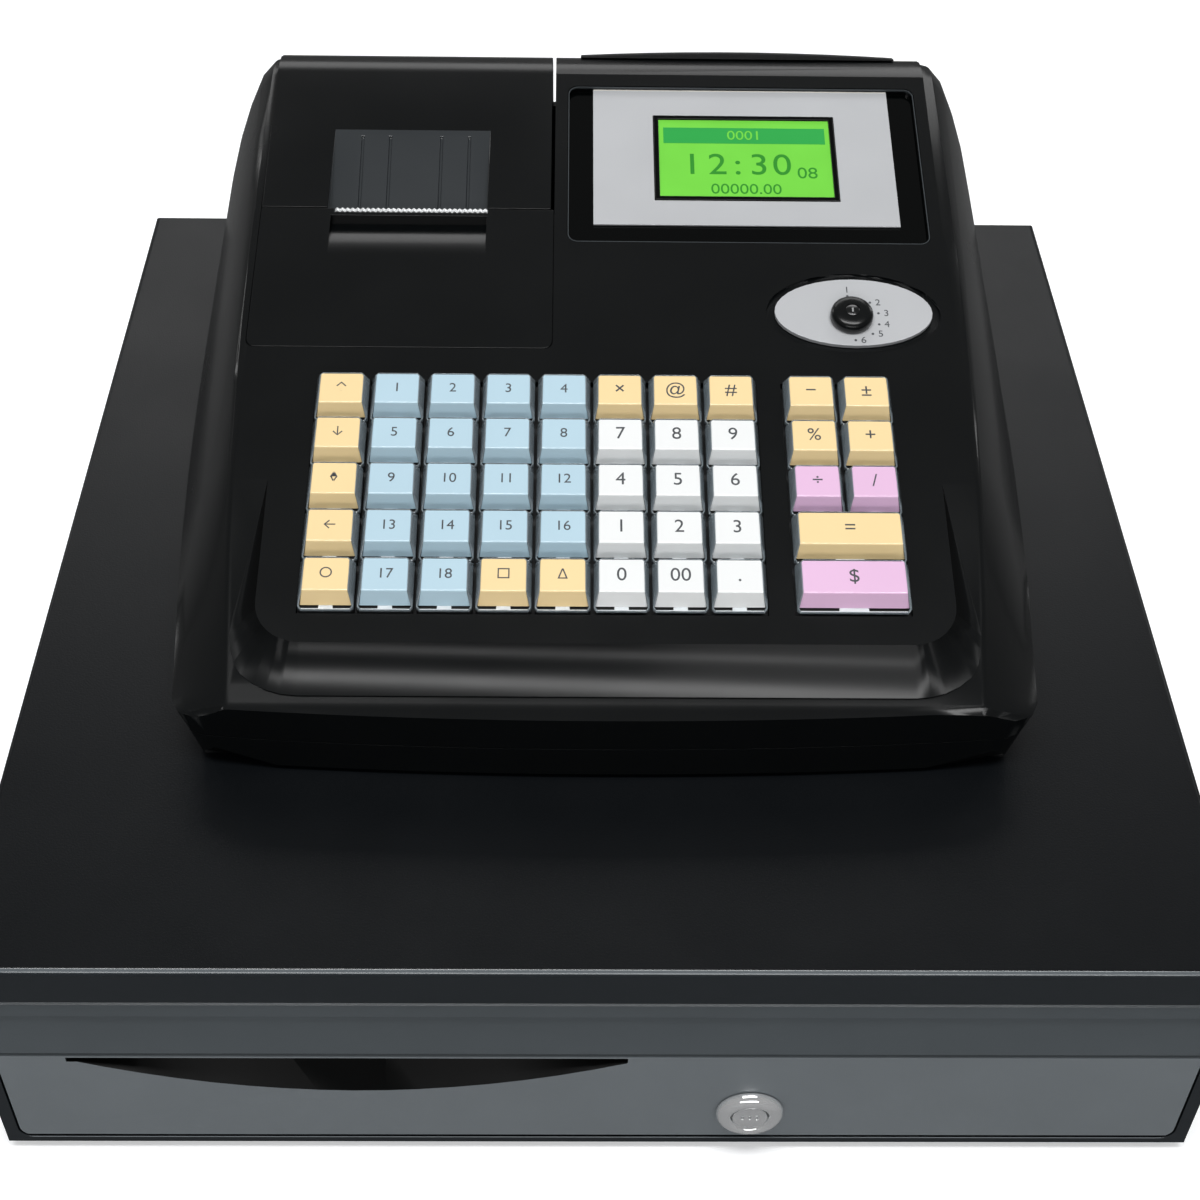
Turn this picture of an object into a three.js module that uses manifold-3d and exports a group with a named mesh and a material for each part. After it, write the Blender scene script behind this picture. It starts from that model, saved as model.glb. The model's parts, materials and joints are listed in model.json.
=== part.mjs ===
// Ticket register standing on its cash drawer.
//
// Millimetres, +Z up. The keys and the drawer face -Y, and +X is the user's right.
// Inside this file the drawer's front face lies at y = 0 and the underside of its cabinet at
// z = 0. The finished group is moved so that its origin is the middle of its footprint.

import * as THREE from "three";
import { mergeVertices } from "three/addons/utils/BufferGeometryUtils.js";
import Module from "manifold-3d";

const wasm = await Module();
wasm.setup();

// Clearances shared by every piece
const gap = 0.3;
const overrun = 1;
const halfShare = 0.5;

// Cash drawer cabinet, folded from sheet steel
const cabinet = {
  width: 410,
  depth: 422,
  height: 101,
  sheet: 1.2,
  topRadius: 2.5,
  bandHeight: 16.7,
  frameSide: 4.7,
  frameSill: 3.2,
  frameLip: 13,
  cornerRadius: 5,
  flange: 20,
};

const foot = { radius: 11, height: 4, fromSide: 37, fromEnd: 34 };

const cableHole = { radius: 8, x: 150, z: 62 };

// Drawer rollers and the rails they run on
const roller = { radius: 5.5, width: 7, pinRadius: 2, fromFront: 28, fromPanRear: 13 };

const rail = { sheet: 1.2, reach: 15.2, start: 44, end: 398, lowerZ: 28, upperZ: 42.4, bracketZ: 54 };

// Drawer: pan, moulded front and travel
const pan = { outerHalf: 185.5, sheet: 1.2, floorZ: 6, height: 70, rear: 378, runnerZ: 48.2 };

const front = {
  gap: 0.8,
  depth: 14,
  skin: 2.6,
  radius: 5,
  topZ: 82.6,
  bandZ: 74.6,
  bandSetBack: 0.9,
  leanSetBack: 2.2,
  grooveZ: 54.2,
  grooveHeight: 1.1,
  grooveDepth: 1.3,
  edge: 0.9,
};

const ticketSlot = { fromSide: 23.1, width: 185.2, low: 50.2, high: 52.6, housing: 4 };

const scoop = { low: 33.8, depth: 9, endRise: 1.6, throat: 4.2 };

const lock = {
  x: 51,
  z: 21,
  bezelRadius: 11.5,
  bezelProud: 4,
  bezelFlat: 1.2,
  bodyRadius: 8.5,
  bodyEnd: 21,
  barrelRadius: 7,
  barrelProud: 3.1,
  faceRadius: 6,
  shoulder: 1,
  slotWidth: 0.9,
  slotHeight: 2.6,
  slotPitch: 2.5,
  slotDepth: 1.6,
  camLength: 13,
  camWidth: 7,
  camThick: 1.6,
};

// Till insert with its note bays, coin cups and clips
const till = {
  front: 36,
  wall: 2,
  floor: 1.8,
  baseZ: 20,
  topZ: 66,
  skirt: 2,
  cupRows: 2,
  bays: 4,
  cupDepth: 46,
  cupRadius: 21,
  sideGap: 1,
};

const clipRod = { radius: 2, fromRear: 11, z: 60 };

const clip = { hub: 4.4, width: 18, reach: 55, thick: 2.6, toeLength: 9, floorGap: 0.6 };

// Latch at the back of the cabinet
const solenoid = {
  left: -24,
  fromRear: 37,
  width: 34,
  depth: 24,
  height: 24,
  plungerRadius: 3.5,
  plungerRise: 6,
  coilInset: 4,
};

const latch = {
  fromRear: 18,
  z: 40,
  pinRadius: 2,
  hub: 5.5,
  thick: 4,
  gap: 5,
  reach: 18,
  armThick: 4,
  noseZ: 27.8,
  noseThick: 3.5,
  bracketRise: 20,
};

const catchTab = { width: 14, reach: 18, thick: 2, z: 19, height: 8 };

// Register case: the plan of its wings and the heights of its edges
const caseAxis = 1.2;

const plan = {
  frontY: 80,
  backY: 397.8,
  bulge: 5,
  bulgeHalf: 127,
  bulgeFade: 60,
  cornerRadius: 9,
  wingStart: 95,
  wingEnd: 386,
  outerFront: 146.8,
  outerSpread: 18.2,
  creaseStart: 84,
  creaseEnd: 300,
  creaseFront: 126.8,
  creaseSpread: 10,
  seamInset: 3,
  baseInset: 7,
};

const level = {
  baseZ: 103,
  seamZ: 116,
  lipZ: 130,
  lipRound: 1.6,
  edgeFrontZ: 124.5,
  edgeRearZ: 119,
  baseChamfer: 7,
  baseBack: 3,
};

const wing = { bulge: 8, shoulderFront: 1, shoulderRear: 10, steps: 5 };

const caseWall = 2.5;

// The plane of the keys and of the display, and the rounding of the hood behind it
const deck = { degrees: 14, anchorY: 118, anchorZ: 144.03, kneeY: 170 };

const hood = { radius: 24, sides: 7 };

// Raised key panel with its sloping band
const pad = {
  left: -118.5,
  right: 121,
  frontV: -13,
  rearV: 60,
  radius: 16,
  drop: 4.6,
  bandFront: 18,
  bandSide: 11,
  bandRadius: 27,
  thick: 3,
  underRoom: 20,
};

// Keys: pitch, cap and stem, all in the panel's own plane
const key = {
  firstU: -103.8,
  firstV: -1.1,
  pitchU: 20.12,
  pitchV: 19.9,
  size: 19,
  height: 7,
  floatW: 0.3,
  skirtTop: 3,
  cornerCut: 1,
  topInset: 1.5,
  topFront: 4.6,
  topRear: 1.2,
  wall: 1.4,
  roof: 2,
  stem: 5,
  stemEnd: 10,
  rows: 5,
  leftColumns: 8,
  fixedColumns: 5,
  rightU: 66.1,
  rightColumns: 2,
  wideRows: 2,
};

const keyPlate = { thick: 2.8, lap: 4, windowGap: 0.6 };

// Printer bay on the left: front cover, tear bar, roll cover and hinge
const bay = { left: -132.3, right: -18.2, frontV: 113.7, seamV: 183.1, sillZ: 147, wallFloorZ: 118 };

const printerCover = {
  thick: 2.5,
  radius: 3.5,
  ledge: 4.5,
  ledgeThick: 3,
  scoopLeft: -105,
  scoopRight: -44.5,
  scoopFrontV: 159,
  scoopRearV: 179.2,
  scoopDepth: 5,
  shell: 2,
};

const tearBar = { left: -103.6, right: -44.1, frontV: 181.1, thick: 1.7, low: -7, high: 0.6, teeth: 30, tooth: 1 };

const rollCover = {
  wall: 2.5,
  slot: 1.4,
  sideDepth: 28,
  toeDepth: 11,
  bottomZ: 150.5,
  heelY: 384,
  heelV: 240,
  recessLeft: -106.4,
  recessRight: -44.4,
  recessEndV: 225,
  recessDepth: 6,
  recessSetBack: 1.2,
  grooveWidth: 1.1,
  grooveDepth: 0.9,
  grooveStart: 3,
};

const grooveU = { outerLeft: -95, innerLeft: -84, innerRight: -63.6, outerRight: -52.5 };

const hingeRod = { radius: 2, y: 390, z: 155, overhang: 2 };

// Printer inside the bay
const paper = { radius: 32, width: 57.5, core: 6.5, y: 346, z: 156 };

const printer = {
  bucketGap: 2,
  bucketWall: 2,
  plate: 2,
  sideGap: 0.9,
  frontY: 291,
  topZ: 176,
  platenY: 305,
  platenZ: 168,
  platenRadius: 7,
  shaftRadius: 2,
  gearRadius: 6.5,
  gearRoot: 5.2,
  gearThick: 3,
  teeth: 16,
  headThick: 3,
  headHeight: 14,
  sinkHeight: 9,
};

// Display housing on the right
const display = {
  startV: 150,
  left: -18.2,
  right: 132.6,
  windowLeft: -13,
  windowRight: 127.5,
  windowFrontV: 166.8,
  windowRearV: 250.6,
  windowRadius: 4,
  windowTop: -2.6,
  windowThick: 1.9,
  plateLeft: -3,
  plateRight: 116.9,
  plateFrontV: 177.1,
  plateTop: -1.6,
  plateThick: 0.7,
  screenLeft: 21.4,
  screenRight: 94,
  screenFrontV: 190.2,
  screenRearV: 236,
  borderTop: -1.3,
  border: 1.9,
  screenDepth: 0.8,
  moduleLap: 4,
  moduleDepth: 6,
  ledge: 3,
  ledgeThick: 3,
};

const cap = { left: -8, right: 122, rise: 2.6, endRise: 0.9, lowZ: 160, wall: 1.8, stations: 9 };

const capStartShare = 0.3;

// Mode switch: groove, oval plate and knob
const mode = {
  u: 94.9,
  v: 131.8,
  grooveHalfU: 33,
  grooveHalfV: 19.5,
  grooveDepth: 1.1,
  halfU: 29.8,
  halfV: 16.1,
  plateTop: 0.8,
  plateThick: 2,
  knobU: 93.8,
  knobV: 128.9,
  knobRadius: 8,
  knobHeight: 4.6,
  knobEdge: 1.2,
  shaftRadius: 4,
  shaftEnd: 12,
  slotLength: 5,
  slotWidth: 1.2,
  slotDepth: 1.6,
};

// Board and rear sockets
const board = { left: -36, right: 116, front: 190, back: 330, thick: 1.6, z: 109.5, postRadius: 3, postInset: 8 };

const processor = { x: 10, y: 236, width: 26, depth: 26, height: 3 };
const memory = { x: 52, y: 262, width: 18, depth: 30, height: 3 };
const relay = { x: 88, y: 220, width: 14, depth: 22, height: 9 };
const supply = { x: -2, y: 300, width: 20, depth: 16, height: 12 };

const inlet = { x: 96, z: 131, width: 27, height: 19, depth: 15, wall: 2, pinWidth: 2, pinHeight: 4, pinSpread: 7 };

const port = { x: 50, z: 128, width: 11, height: 9, depth: 12, wall: 1.6 };

const caseFoot = { radius: 7, insetX: 22, frontY: 104, rearY: 372 };

// Smoothness of round shapes
const sides = { small: 16, round: 28, corner: 4, ellipse: 40 };

const planSteps = 9;

const flanksPerTooth = 2;

const cornerStationShare = 0.3;

const weld = 0.0001;

// Finishes: colour, roughness and metalness
const finishes = {
  cabinetSteel: { color: "#14171a", roughness: 0.42, metalness: 0.2 },
  frontPlastic: { color: "#2a2e31", roughness: 0.4, metalness: 0 },
  casePlastic: { color: "#111415", roughness: 0.3, metalness: 0 },
  darkPlastic: { color: "#1c1e20", roughness: 0.6, metalness: 0 },
  zincSteel: { color: "#9da2a6", roughness: 0.45, metalness: 0.9 },
  brightSteel: { color: "#d5d8da", roughness: 0.2, metalness: 1 },
  chrome: { color: "#e6e8ea", roughness: 0.08, metalness: 1 },
  nylon: { color: "#d9d9d2", roughness: 0.6, metalness: 0 },
  rubber: { color: "#1a1a1a", roughness: 0.9, metalness: 0 },
  silverPlate: { color: "#b9bcc0", roughness: 0.4, metalness: 0.3 },
  glossBlack: { color: "#050606", roughness: 0.06, metalness: 0 },
  screenGreen: { color: "#7bea3c", roughness: 0.3, metalness: 0 },
  paperWhite: { color: "#f4f4f0", roughness: 0.9, metalness: 0 },
  boardGreen: { color: "#1d5b35", roughness: 0.5, metalness: 0 },
  keyWhite: { color: "#f4f6f6", roughness: 0.2, metalness: 0 },
  keyYellow: { color: "#fbe0ad", roughness: 0.2, metalness: 0 },
  keyPink: { color: "#edc6e6", roughness: 0.2, metalness: 0 },
  keyBlue: { color: "#cfe6f2", roughness: 0.2, metalness: 0 },
};

// Small sums
const half = (size) => size * halfShare;
const middle = (low, high) => half(low + high);
const mix = (from, to, share) => from + (to - from) * share;
const clamp01 = (value) => Math.min(Math.max(value, 0), 1);
const ease = (share) => share + share * (1 - share);
const around = (centre, size) => [centre - half(size), centre + half(size)];
const radians = THREE.MathUtils.degToRad;

const tilt = radians(deck.degrees);
const deckSlope = Math.tan(tilt);
const deckZ = (y) => deck.anchorZ + (y - deck.anchorY) * deckSlope;
const seamY = deck.anchorY + bay.seamV * Math.cos(tilt);

// From a closed three.js geometry to a solid that can be cut, and back
function solidOf(geometry) {
  const bare = geometry.clone();
  bare.deleteAttribute("normal");
  bare.deleteAttribute("uv");
  const closed = mergeVertices(bare, weld);
  const vertProperties = new Float32Array(closed.attributes.position.array);
  const triVerts = new Uint32Array(closed.index.array);
  return new wasm.Manifold(new wasm.Mesh({ numProp: 3, vertProperties, triVerts }));
}

function geometryOf(solid) {
  const { vertProperties, triVerts, numProp } = solid.getMesh();
  const geometry = new THREE.BufferGeometry();
  geometry.setAttribute("position", new THREE.BufferAttribute(vertProperties, numProp));
  geometry.setIndex(new THREE.BufferAttribute(triVerts, 1));
  geometry.computeVertexNormals();
  return geometry;
}

function joined(solids) {
  return solids.reduce((whole, piece) => whole.add(piece));
}

function cutFrom(solid, cutters) {
  return cutters.reduce((rest, cutter) => rest.subtract(cutter), solid);
}

// Changes of frame: out of the deck's plane, or an extrusion turned to run along x or y
const deckFrame = new THREE.Matrix4()
  .makeTranslation(0, deck.anchorY, deck.anchorZ)
  .multiply(new THREE.Matrix4().makeRotationX(tilt));

const axisX = new THREE.Vector3(1, 0, 0);
const axisY = new THREE.Vector3(0, 1, 0);
const axisZ = new THREE.Vector3(0, 0, 1);
const alongX = new THREE.Matrix4().makeBasis(axisY, axisZ, axisX);
const alongY = new THREE.Matrix4().makeBasis(axisX, axisZ, axisY.clone().negate());

// Closed geometries
function boxGeometry([x0, x1], [y0, y1], [z0, z1]) {
  const geometry = new THREE.BoxGeometry(x1 - x0, y1 - y0, z1 - z0);
  return geometry.translate(middle(x0, x1), middle(y0, y1), middle(z0, z1));
}

function extruded(shape, depth, curveSegments = sides.corner) {
  return new THREE.ExtrudeGeometry(shape, { depth, curveSegments, bevelEnabled: false });
}

const box = (x, y, z) => solidOf(boxGeometry(x, y, z));
const deckBox = (u, v, w) => solidOf(boxGeometry(u, v, w).applyMatrix4(deckFrame));

function prismX(shape, [x0, x1], segments) {
  return solidOf(extruded(shape, x1 - x0, segments).applyMatrix4(alongX).translate(x0, 0, 0));
}

function prismY(shape, [y0, y1], segments) {
  return solidOf(extruded(shape, y1 - y0, segments).applyMatrix4(alongY).translate(0, y1, 0));
}

function prismZ(shape, [z0, z1], segments) {
  return solidOf(extruded(shape, z1 - z0, segments).translate(0, 0, z0));
}

function deckPrism(shape, [w0, w1], segments) {
  return solidOf(extruded(shape, w1 - w0, segments).translate(0, 0, w0).applyMatrix4(deckFrame));
}

// Outlines
function polygon(points) {
  return new THREE.Shape(points.map(([a, b]) => new THREE.Vector2(a, b)));
}

function roundedBox([a0, a1], [b0, b1], { lower = 0, upper = 0 }) {
  const quarter = Math.PI * halfShare;
  const shape = new THREE.Shape();
  shape.moveTo(a0 + lower, b0);
  shape.lineTo(a1 - lower, b0);
  if (lower > 0) shape.absarc(a1 - lower, b0 + lower, lower, -quarter, 0);
  shape.lineTo(a1, b1 - upper);
  if (upper > 0) shape.absarc(a1 - upper, b1 - upper, upper, 0, quarter);
  shape.lineTo(a0 + upper, b1);
  if (upper > 0) shape.absarc(a0 + upper, b1 - upper, upper, quarter, Math.PI);
  shape.lineTo(a0, b0 + lower);
  if (lower > 0) shape.absarc(a0 + lower, b0 + lower, lower, Math.PI, Math.PI + quarter);
  return shape;
}

function circle(a, b, radius, count = sides.round) {
  const points = [];
  for (let step = 0; step < count; step += 1) {
    const angle = (Math.PI * (step + step)) / count;
    points.push([a + radius * Math.cos(angle), b + radius * Math.sin(angle)]);
  }
  return polygon(points);
}

function ellipse(a, b, halfA, halfB) {
  const points = [];
  for (let step = 0; step < sides.ellipse; step += 1) {
    const angle = (Math.PI * (step + step)) / sides.ellipse;
    points.push([a + halfA * Math.cos(angle), b + halfB * Math.sin(angle)]);
  }
  return polygon(points);
}

// A body of revolution round the y axis, from [radius, height] points that start and end on it
function turned(points, count = sides.round) {
  return new THREE.LatheGeometry(points.map(([r, h]) => new THREE.Vector2(r, h)), count);
}

// A skin over rings of equal count, closed by flat caps; outline gives each ring's plane view
function loft(rings, capView) {
  const count = rings[0].length;
  const positions = rings.flat().flatMap((point) => point.toArray());
  const index = [];
  for (let ring = 0; ring + 1 < rings.length; ring += 1) {
    for (let step = 0; step < count; step += 1) {
      const next = (step + 1) % count;
      const a = ring * count + step;
      const b = ring * count + next;
      index.push(a, b, b + count, a, b + count, a + count);
    }
  }
  const last = (rings.length - 1) * count;
  const faces = THREE.ShapeUtils.triangulateShape(rings[0].map(capView), []);
  const lastFaces = THREE.ShapeUtils.triangulateShape(rings[rings.length - 1].map(capView), []);
  for (const [a, b, c] of faces) index.push(c, b, a);
  for (const [a, b, c] of lastFaces) index.push(last + a, last + b, last + c);
  const geometry = new THREE.BufferGeometry();
  geometry.setAttribute("position", new THREE.Float32BufferAttribute(positions, axisX.toArray().length));
  geometry.setIndex(index);
  return geometry;
}

// The case: half its width at each edge, and the height of its top, at a station y
const wingShare = (y) => clamp01((y - plan.wingStart) / (plan.wingEnd - plan.wingStart));
const creaseShare = (y) => clamp01((y - plan.creaseStart) / (plan.creaseEnd - plan.creaseStart));
const outerHalf = (y) => plan.outerFront + plan.outerSpread * ease(wingShare(y));
const creaseHalf = (y) => plan.creaseFront + plan.creaseSpread * ease(creaseShare(y));

const hoodCentreY = plan.backY - hood.radius;
const hoodCentreZ = deckZ(hoodCentreY) - hood.radius / Math.cos(tilt);
const hoodStartY = hoodCentreY - hood.radius * Math.sin(tilt);

function cornerDraw(y) {
  const inFromEnd = Math.max(Math.min(y - plan.frontY, plan.backY - y), 0);
  const left = plan.cornerRadius - Math.min(inFromEnd, plan.cornerRadius);
  return plan.cornerRadius - Math.sqrt(plan.cornerRadius * plan.cornerRadius - left * left);
}

function topZ(y, inset) {
  if (y < deck.kneeY) {
    const rise = mix(level.lipZ, deckZ(deck.kneeY), (y - plan.frontY) / (deck.kneeY - plan.frontY));
    const nearLip = Math.max(level.lipRound - (y - plan.frontY), 0);
    return rise - nearLip - inset;
  }
  if (y < hoodStartY) return deckZ(y) - inset / Math.cos(tilt);
  const radius = hood.radius - inset;
  const reach = Math.min(y - hoodCentreY, radius);
  return hoodCentreZ + Math.sqrt(radius * radius - reach * reach);
}

function caseStations(inset) {
  const start = plan.frontY + inset;
  const lead = [0, level.lipRound, plan.cornerRadius * cornerStationShare, plan.cornerRadius];
  const stations = lead.map((step) => start + step);
  const first = start + plan.cornerRadius;
  for (let step = 1; step < planSteps; step += 1) {
    stations.push(mix(first, hoodStartY, step / planSteps));
  }
  stations.push(deck.kneeY);
  for (let step = 0; step <= hood.sides; step += 1) {
    const angle = mix(-tilt, Math.PI * halfShare, step / hood.sides);
    stations.push(hoodCentreY + (hood.radius - inset) * Math.sin(angle));
  }
  return stations.sort((a, b) => a - b);
}

// A ring across the case from its left half to its right half, curved forward like the front edge
function caseRing(y, halfSection) {
  const fade = 1 - clamp01((y - plan.frontY) / plan.bulgeFade);
  const place = ([x, z]) => {
    const share = x / plan.bulgeHalf;
    return new THREE.Vector3(caseAxis + x, y + plan.bulge * share * share * fade, z);
  };
  const leftSide = halfSection.map(([x, z]) => place([-x, z]));
  const rightSide = halfSection.map(place).reverse();
  return [...leftSide, ...rightSide];
}

const fromRear = (point) => new THREE.Vector2(point.z, point.x);

function upperSection(y, inset) {
  const share = wingShare(y);
  const draw = cornerDraw(y);
  const outer = outerHalf(y) - draw - inset;
  const edge = new THREE.Vector2(outer, mix(level.edgeFrontZ, level.edgeRearZ, share));
  const creaseX = Math.min(creaseHalf(y) - inset, outer - wing.shoulderFront);
  const crease = new THREE.Vector2(creaseX, topZ(y, inset));
  const chord = crease.clone().sub(edge);
  const outward = new THREE.Vector2(chord.y, -chord.x).normalize();
  const control = edge.clone().lerp(crease, halfShare).addScaledVector(outward, wing.bulge * share);
  const shoulder = mix(wing.shoulderFront, wing.shoulderRear, share * share);
  const toControl = control.clone().sub(crease).normalize();
  const below = crease.clone().addScaledVector(toControl, shoulder);
  const inward = new THREE.Vector2(crease.x - shoulder, crease.y);
  const facet = new THREE.QuadraticBezierCurve(edge, control, below).getPoints(wing.steps);
  const round = new THREE.QuadraticBezierCurve(below, crease, inward).getPoint(halfShare);
  const seamHalf = outerHalf(y) - draw - plan.seamInset - inset;
  const seam = new THREE.Vector2(seamHalf, inset > 0 ? level.seamZ - overrun : level.seamZ);
  return [seam, ...facet, round, inward].map((point) => [point.x, point.y]);
}

function lowerSection(y, inset) {
  const fromEnd = Math.min(y - plan.frontY, plan.backY - y) - inset;
  const chamfer = level.baseChamfer * (1 - clamp01(fromEnd / level.baseBack));
  const bottom = level.baseZ + inset + chamfer;
  const top = level.seamZ - gap + (inset > 0 ? overrun : 0);
  const outer = outerHalf(y) - cornerDraw(y) - inset;
  const lowShare = chamfer / (level.seamZ - level.baseZ);
  return [
    [outer - mix(plan.baseInset, plan.seamInset, lowShare), bottom],
    [outer - plan.seamInset, top],
  ];
}

function caseLoft(section, inset) {
  return solidOf(loft(caseStations(inset).map((y) => caseRing(y, section(y, inset))), fromRear));
}

// Points of the deck's plane and of the hood's rounding, seen from the side as [y, z]
function deckPoint(v, w) {
  return [
    deck.anchorY + v * Math.cos(tilt) - w * Math.sin(tilt),
    deck.anchorZ + v * Math.sin(tilt) + w * Math.cos(tilt),
  ];
}

function hoodArc(inset, startShare = 0) {
  const points = [];
  for (let step = 0; step <= hood.sides; step += 1) {
    const angle = mix(mix(-tilt, Math.PI * halfShare, startShare), Math.PI * halfShare, step / hood.sides);
    const radius = hood.radius - inset;
    points.push([hoodCentreY + radius * Math.sin(angle), hoodCentreZ + radius * Math.cos(angle)]);
  }
  return points;
}

// A named mesh with a material of its own
function addPiece(parent, name, solid, finish) {
  const mesh = new THREE.Mesh(geometryOf(solid), new THREE.MeshStandardMaterial(finishes[finish]));
  mesh.name = name;
  parent.add(mesh);
  return mesh;
}

// Cash drawer cabinet

const cabinetHalf = half(cabinet.width);
const openingHalf = cabinetHalf - cabinet.frameSide;
const openingTop = cabinet.height - cabinet.bandHeight;

function drawerCabinet() {
  const { sheet, depth, height, topRadius } = cabinet;
  const side = roundedBox([-cabinetHalf, cabinetHalf], [0, height], { upper: topRadius });
  const length = roundedBox([0, depth], [0, height], { upper: topRadius });
  const block = prismY(side, [0, depth]).intersect(prismX(length, [-cabinetHalf, cabinetHalf]));
  const innerHalf = cabinetHalf - sheet;
  const hollow = box([-innerHalf, innerHalf], [sheet, depth + overrun], [sheet, height - sheet]);
  const betweenFlanges = innerHalf - cabinet.flange;
  const floorOpening = box(
    [-betweenFlanges, betweenFlanges],
    [cabinet.frameLip + sheet, depth + overrun],
    [-overrun, sheet + overrun],
  );
  const lipBack = cabinet.frameLip + sheet;
  const lip = (grow, ends) => prismY(
    roundedBox(
      [-openingHalf - grow, openingHalf + grow],
      [cabinet.frameSill - grow, openingTop + grow],
      { lower: cabinet.cornerRadius + grow },
    ),
    ends,
  );
  const shell = cutFrom(block, [hollow, floorOpening]).add(lip(sheet, [0, lipBack]));
  return shell.subtract(lip(0, [-overrun, lipBack + overrun]));
}

const baseFloor = [cabinet.sheet + gap, cabinet.sheet + gap + cabinet.sheet];
const baseHalf = cabinetHalf - cabinet.sheet - gap;
const rollerX = [pan.outerHalf + gap + cabinet.sheet, pan.outerHalf + gap + cabinet.sheet + roller.width];
const cabinetRollerZ = pan.runnerZ - gap - roller.radius;
const panRollerY = pan.rear - roller.fromPanRear;
const panRollerZ = rail.lowerZ + rail.sheet + gap + roller.radius;

// One rail bracket with its two ledges and the pin of the front roller; side is -1 or 1
function railBracket(side) {
  const outerX = baseHalf;
  const wallX = outerX - rail.sheet;
  const span = (from, to) => (side > 0 ? [from, to] : [-to, -from]);
  const upright = box(span(wallX, outerX), [roller.fromFront - roller.radius, rail.end], [baseFloor[0], rail.bracketZ]);
  const ledges = [rail.lowerZ, rail.upperZ].map((z) => (
    box(span(wallX - rail.reach, outerX), [rail.start, rail.end], [z, z + rail.sheet])
  ));
  const pin = prismX(circle(roller.fromFront, cabinetRollerZ, roller.pinRadius), span(rollerX[0], outerX));
  return joined([upright, ...ledges, pin]);
}

function cabinetBase() {
  const { depth, height, sheet, frameLip } = cabinet;
  const backInner = depth - sheet - gap;
  const floor = box([-baseHalf, baseHalf], [frameLip + sheet + gap, depth - gap], baseFloor);
  const back = box([-baseHalf, baseHalf], [backInner, depth - gap], [baseFloor[0], height - sheet - gap]);
  const footX = cabinetHalf - foot.fromSide;
  const feet = [-footX, footX].flatMap((x) => [foot.fromEnd, depth - foot.fromEnd].map((y) => (
    prismZ(circle(x, y, foot.radius), [-foot.height, baseFloor[1]])
  )));
  const hole = prismY(circle(cableHole.x, cableHole.z, cableHole.radius), [backInner - overrun, depth + overrun]);
  return joined([floor, back, railBracket(-1), railBracket(1), ...feet]).subtract(hole);
}

// A ring that turns on its pin, between the pan's side and the bracket
function rollerRing(side) {
  const [from, to] = [rollerX[0] + gap, rollerX[1] - gap];
  const span = side > 0 ? [from, to] : [-to, -from];
  const ring = prismX(circle(0, 0, roller.radius), span);
  return ring.subtract(prismX(circle(0, 0, roller.pinRadius + gap), [span[0] - overrun, span[1] + overrun]));
}

// Drawer pan with its runners, roller pins and catch

const leverX = solenoid.left - latch.gap - half(latch.thick);
const latchY = cabinet.depth - latch.fromRear;
const panFront = front.depth + gap;
const panInner = pan.outerHalf - pan.sheet;

function panRunner(side) {
  const span = (from, to) => (side > 0 ? [from, to] : [-to, -from]);
  const flange = box(
    span(panInner, rollerX[1]),
    [roller.fromFront - roller.radius, pan.rear],
    [pan.runnerZ, pan.runnerZ + pan.sheet],
  );
  const pin = prismX(circle(panRollerY, panRollerZ, roller.pinRadius), span(panInner, rollerX[1]));
  return flange.add(pin);
}

function drawerPan() {
  const { outerHalf, sheet, floorZ, height, rear } = pan;
  const block = box([-outerHalf, outerHalf], [panFront, rear], [floorZ, floorZ + height]);
  const hollow = box(
    [-panInner, panInner],
    [panFront + sheet, rear - sheet],
    [floorZ + sheet, floorZ + height + overrun],
  );
  const ticketGap = box(
    [slotLeft, slotRight],
    [panFront - overrun, panFront + sheet + overrun],
    [scoop.low, ticketSlot.high + ticketSlot.housing],
  );
  const lockHole = prismY(circle(lock.x, lock.z, lock.bodyRadius + gap), [panFront - overrun, panFront + sheet + overrun]);
  const tabX = around(leverX, catchTab.width);
  const tabEnd = rear + catchTab.reach;
  const tab = box(tabX, [rear - sheet, tabEnd], [catchTab.z, catchTab.z + catchTab.thick]);
  const lip = box(tabX, [tabEnd - catchTab.thick, tabEnd], [catchTab.z, catchTab.z + catchTab.height]);
  const whole = joined([cutFrom(block, [hollow]), panRunner(-1), panRunner(1), tab, lip]);
  return cutFrom(whole, [ticketGap, lockHole]);
}

// Drawer front: panel, leaning band, narrow band, ticket slot and finger scoop

const frontHalf = openingHalf - front.gap;
const frontBottom = cabinet.frameSill + front.gap;
const slotLeft = -frontHalf + ticketSlot.fromSide;
const slotRight = slotLeft + ticketSlot.width;

function frontProfile() {
  const { grooveZ, grooveHeight, grooveDepth, edge } = front;
  return polygon([
    [edge, frontBottom],
    [front.depth, frontBottom],
    [front.depth, front.topZ],
    [front.bandSetBack + edge, front.topZ],
    [front.bandSetBack, front.topZ - edge],
    [front.bandSetBack, front.bandZ + edge],
    [front.leanSetBack, front.bandZ],
    [0, grooveZ + grooveHeight],
    [grooveDepth, grooveZ + grooveHeight],
    [grooveDepth, grooveZ],
    [0, grooveZ - edge],
    [0, frontBottom + edge],
  ]);
}

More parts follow.
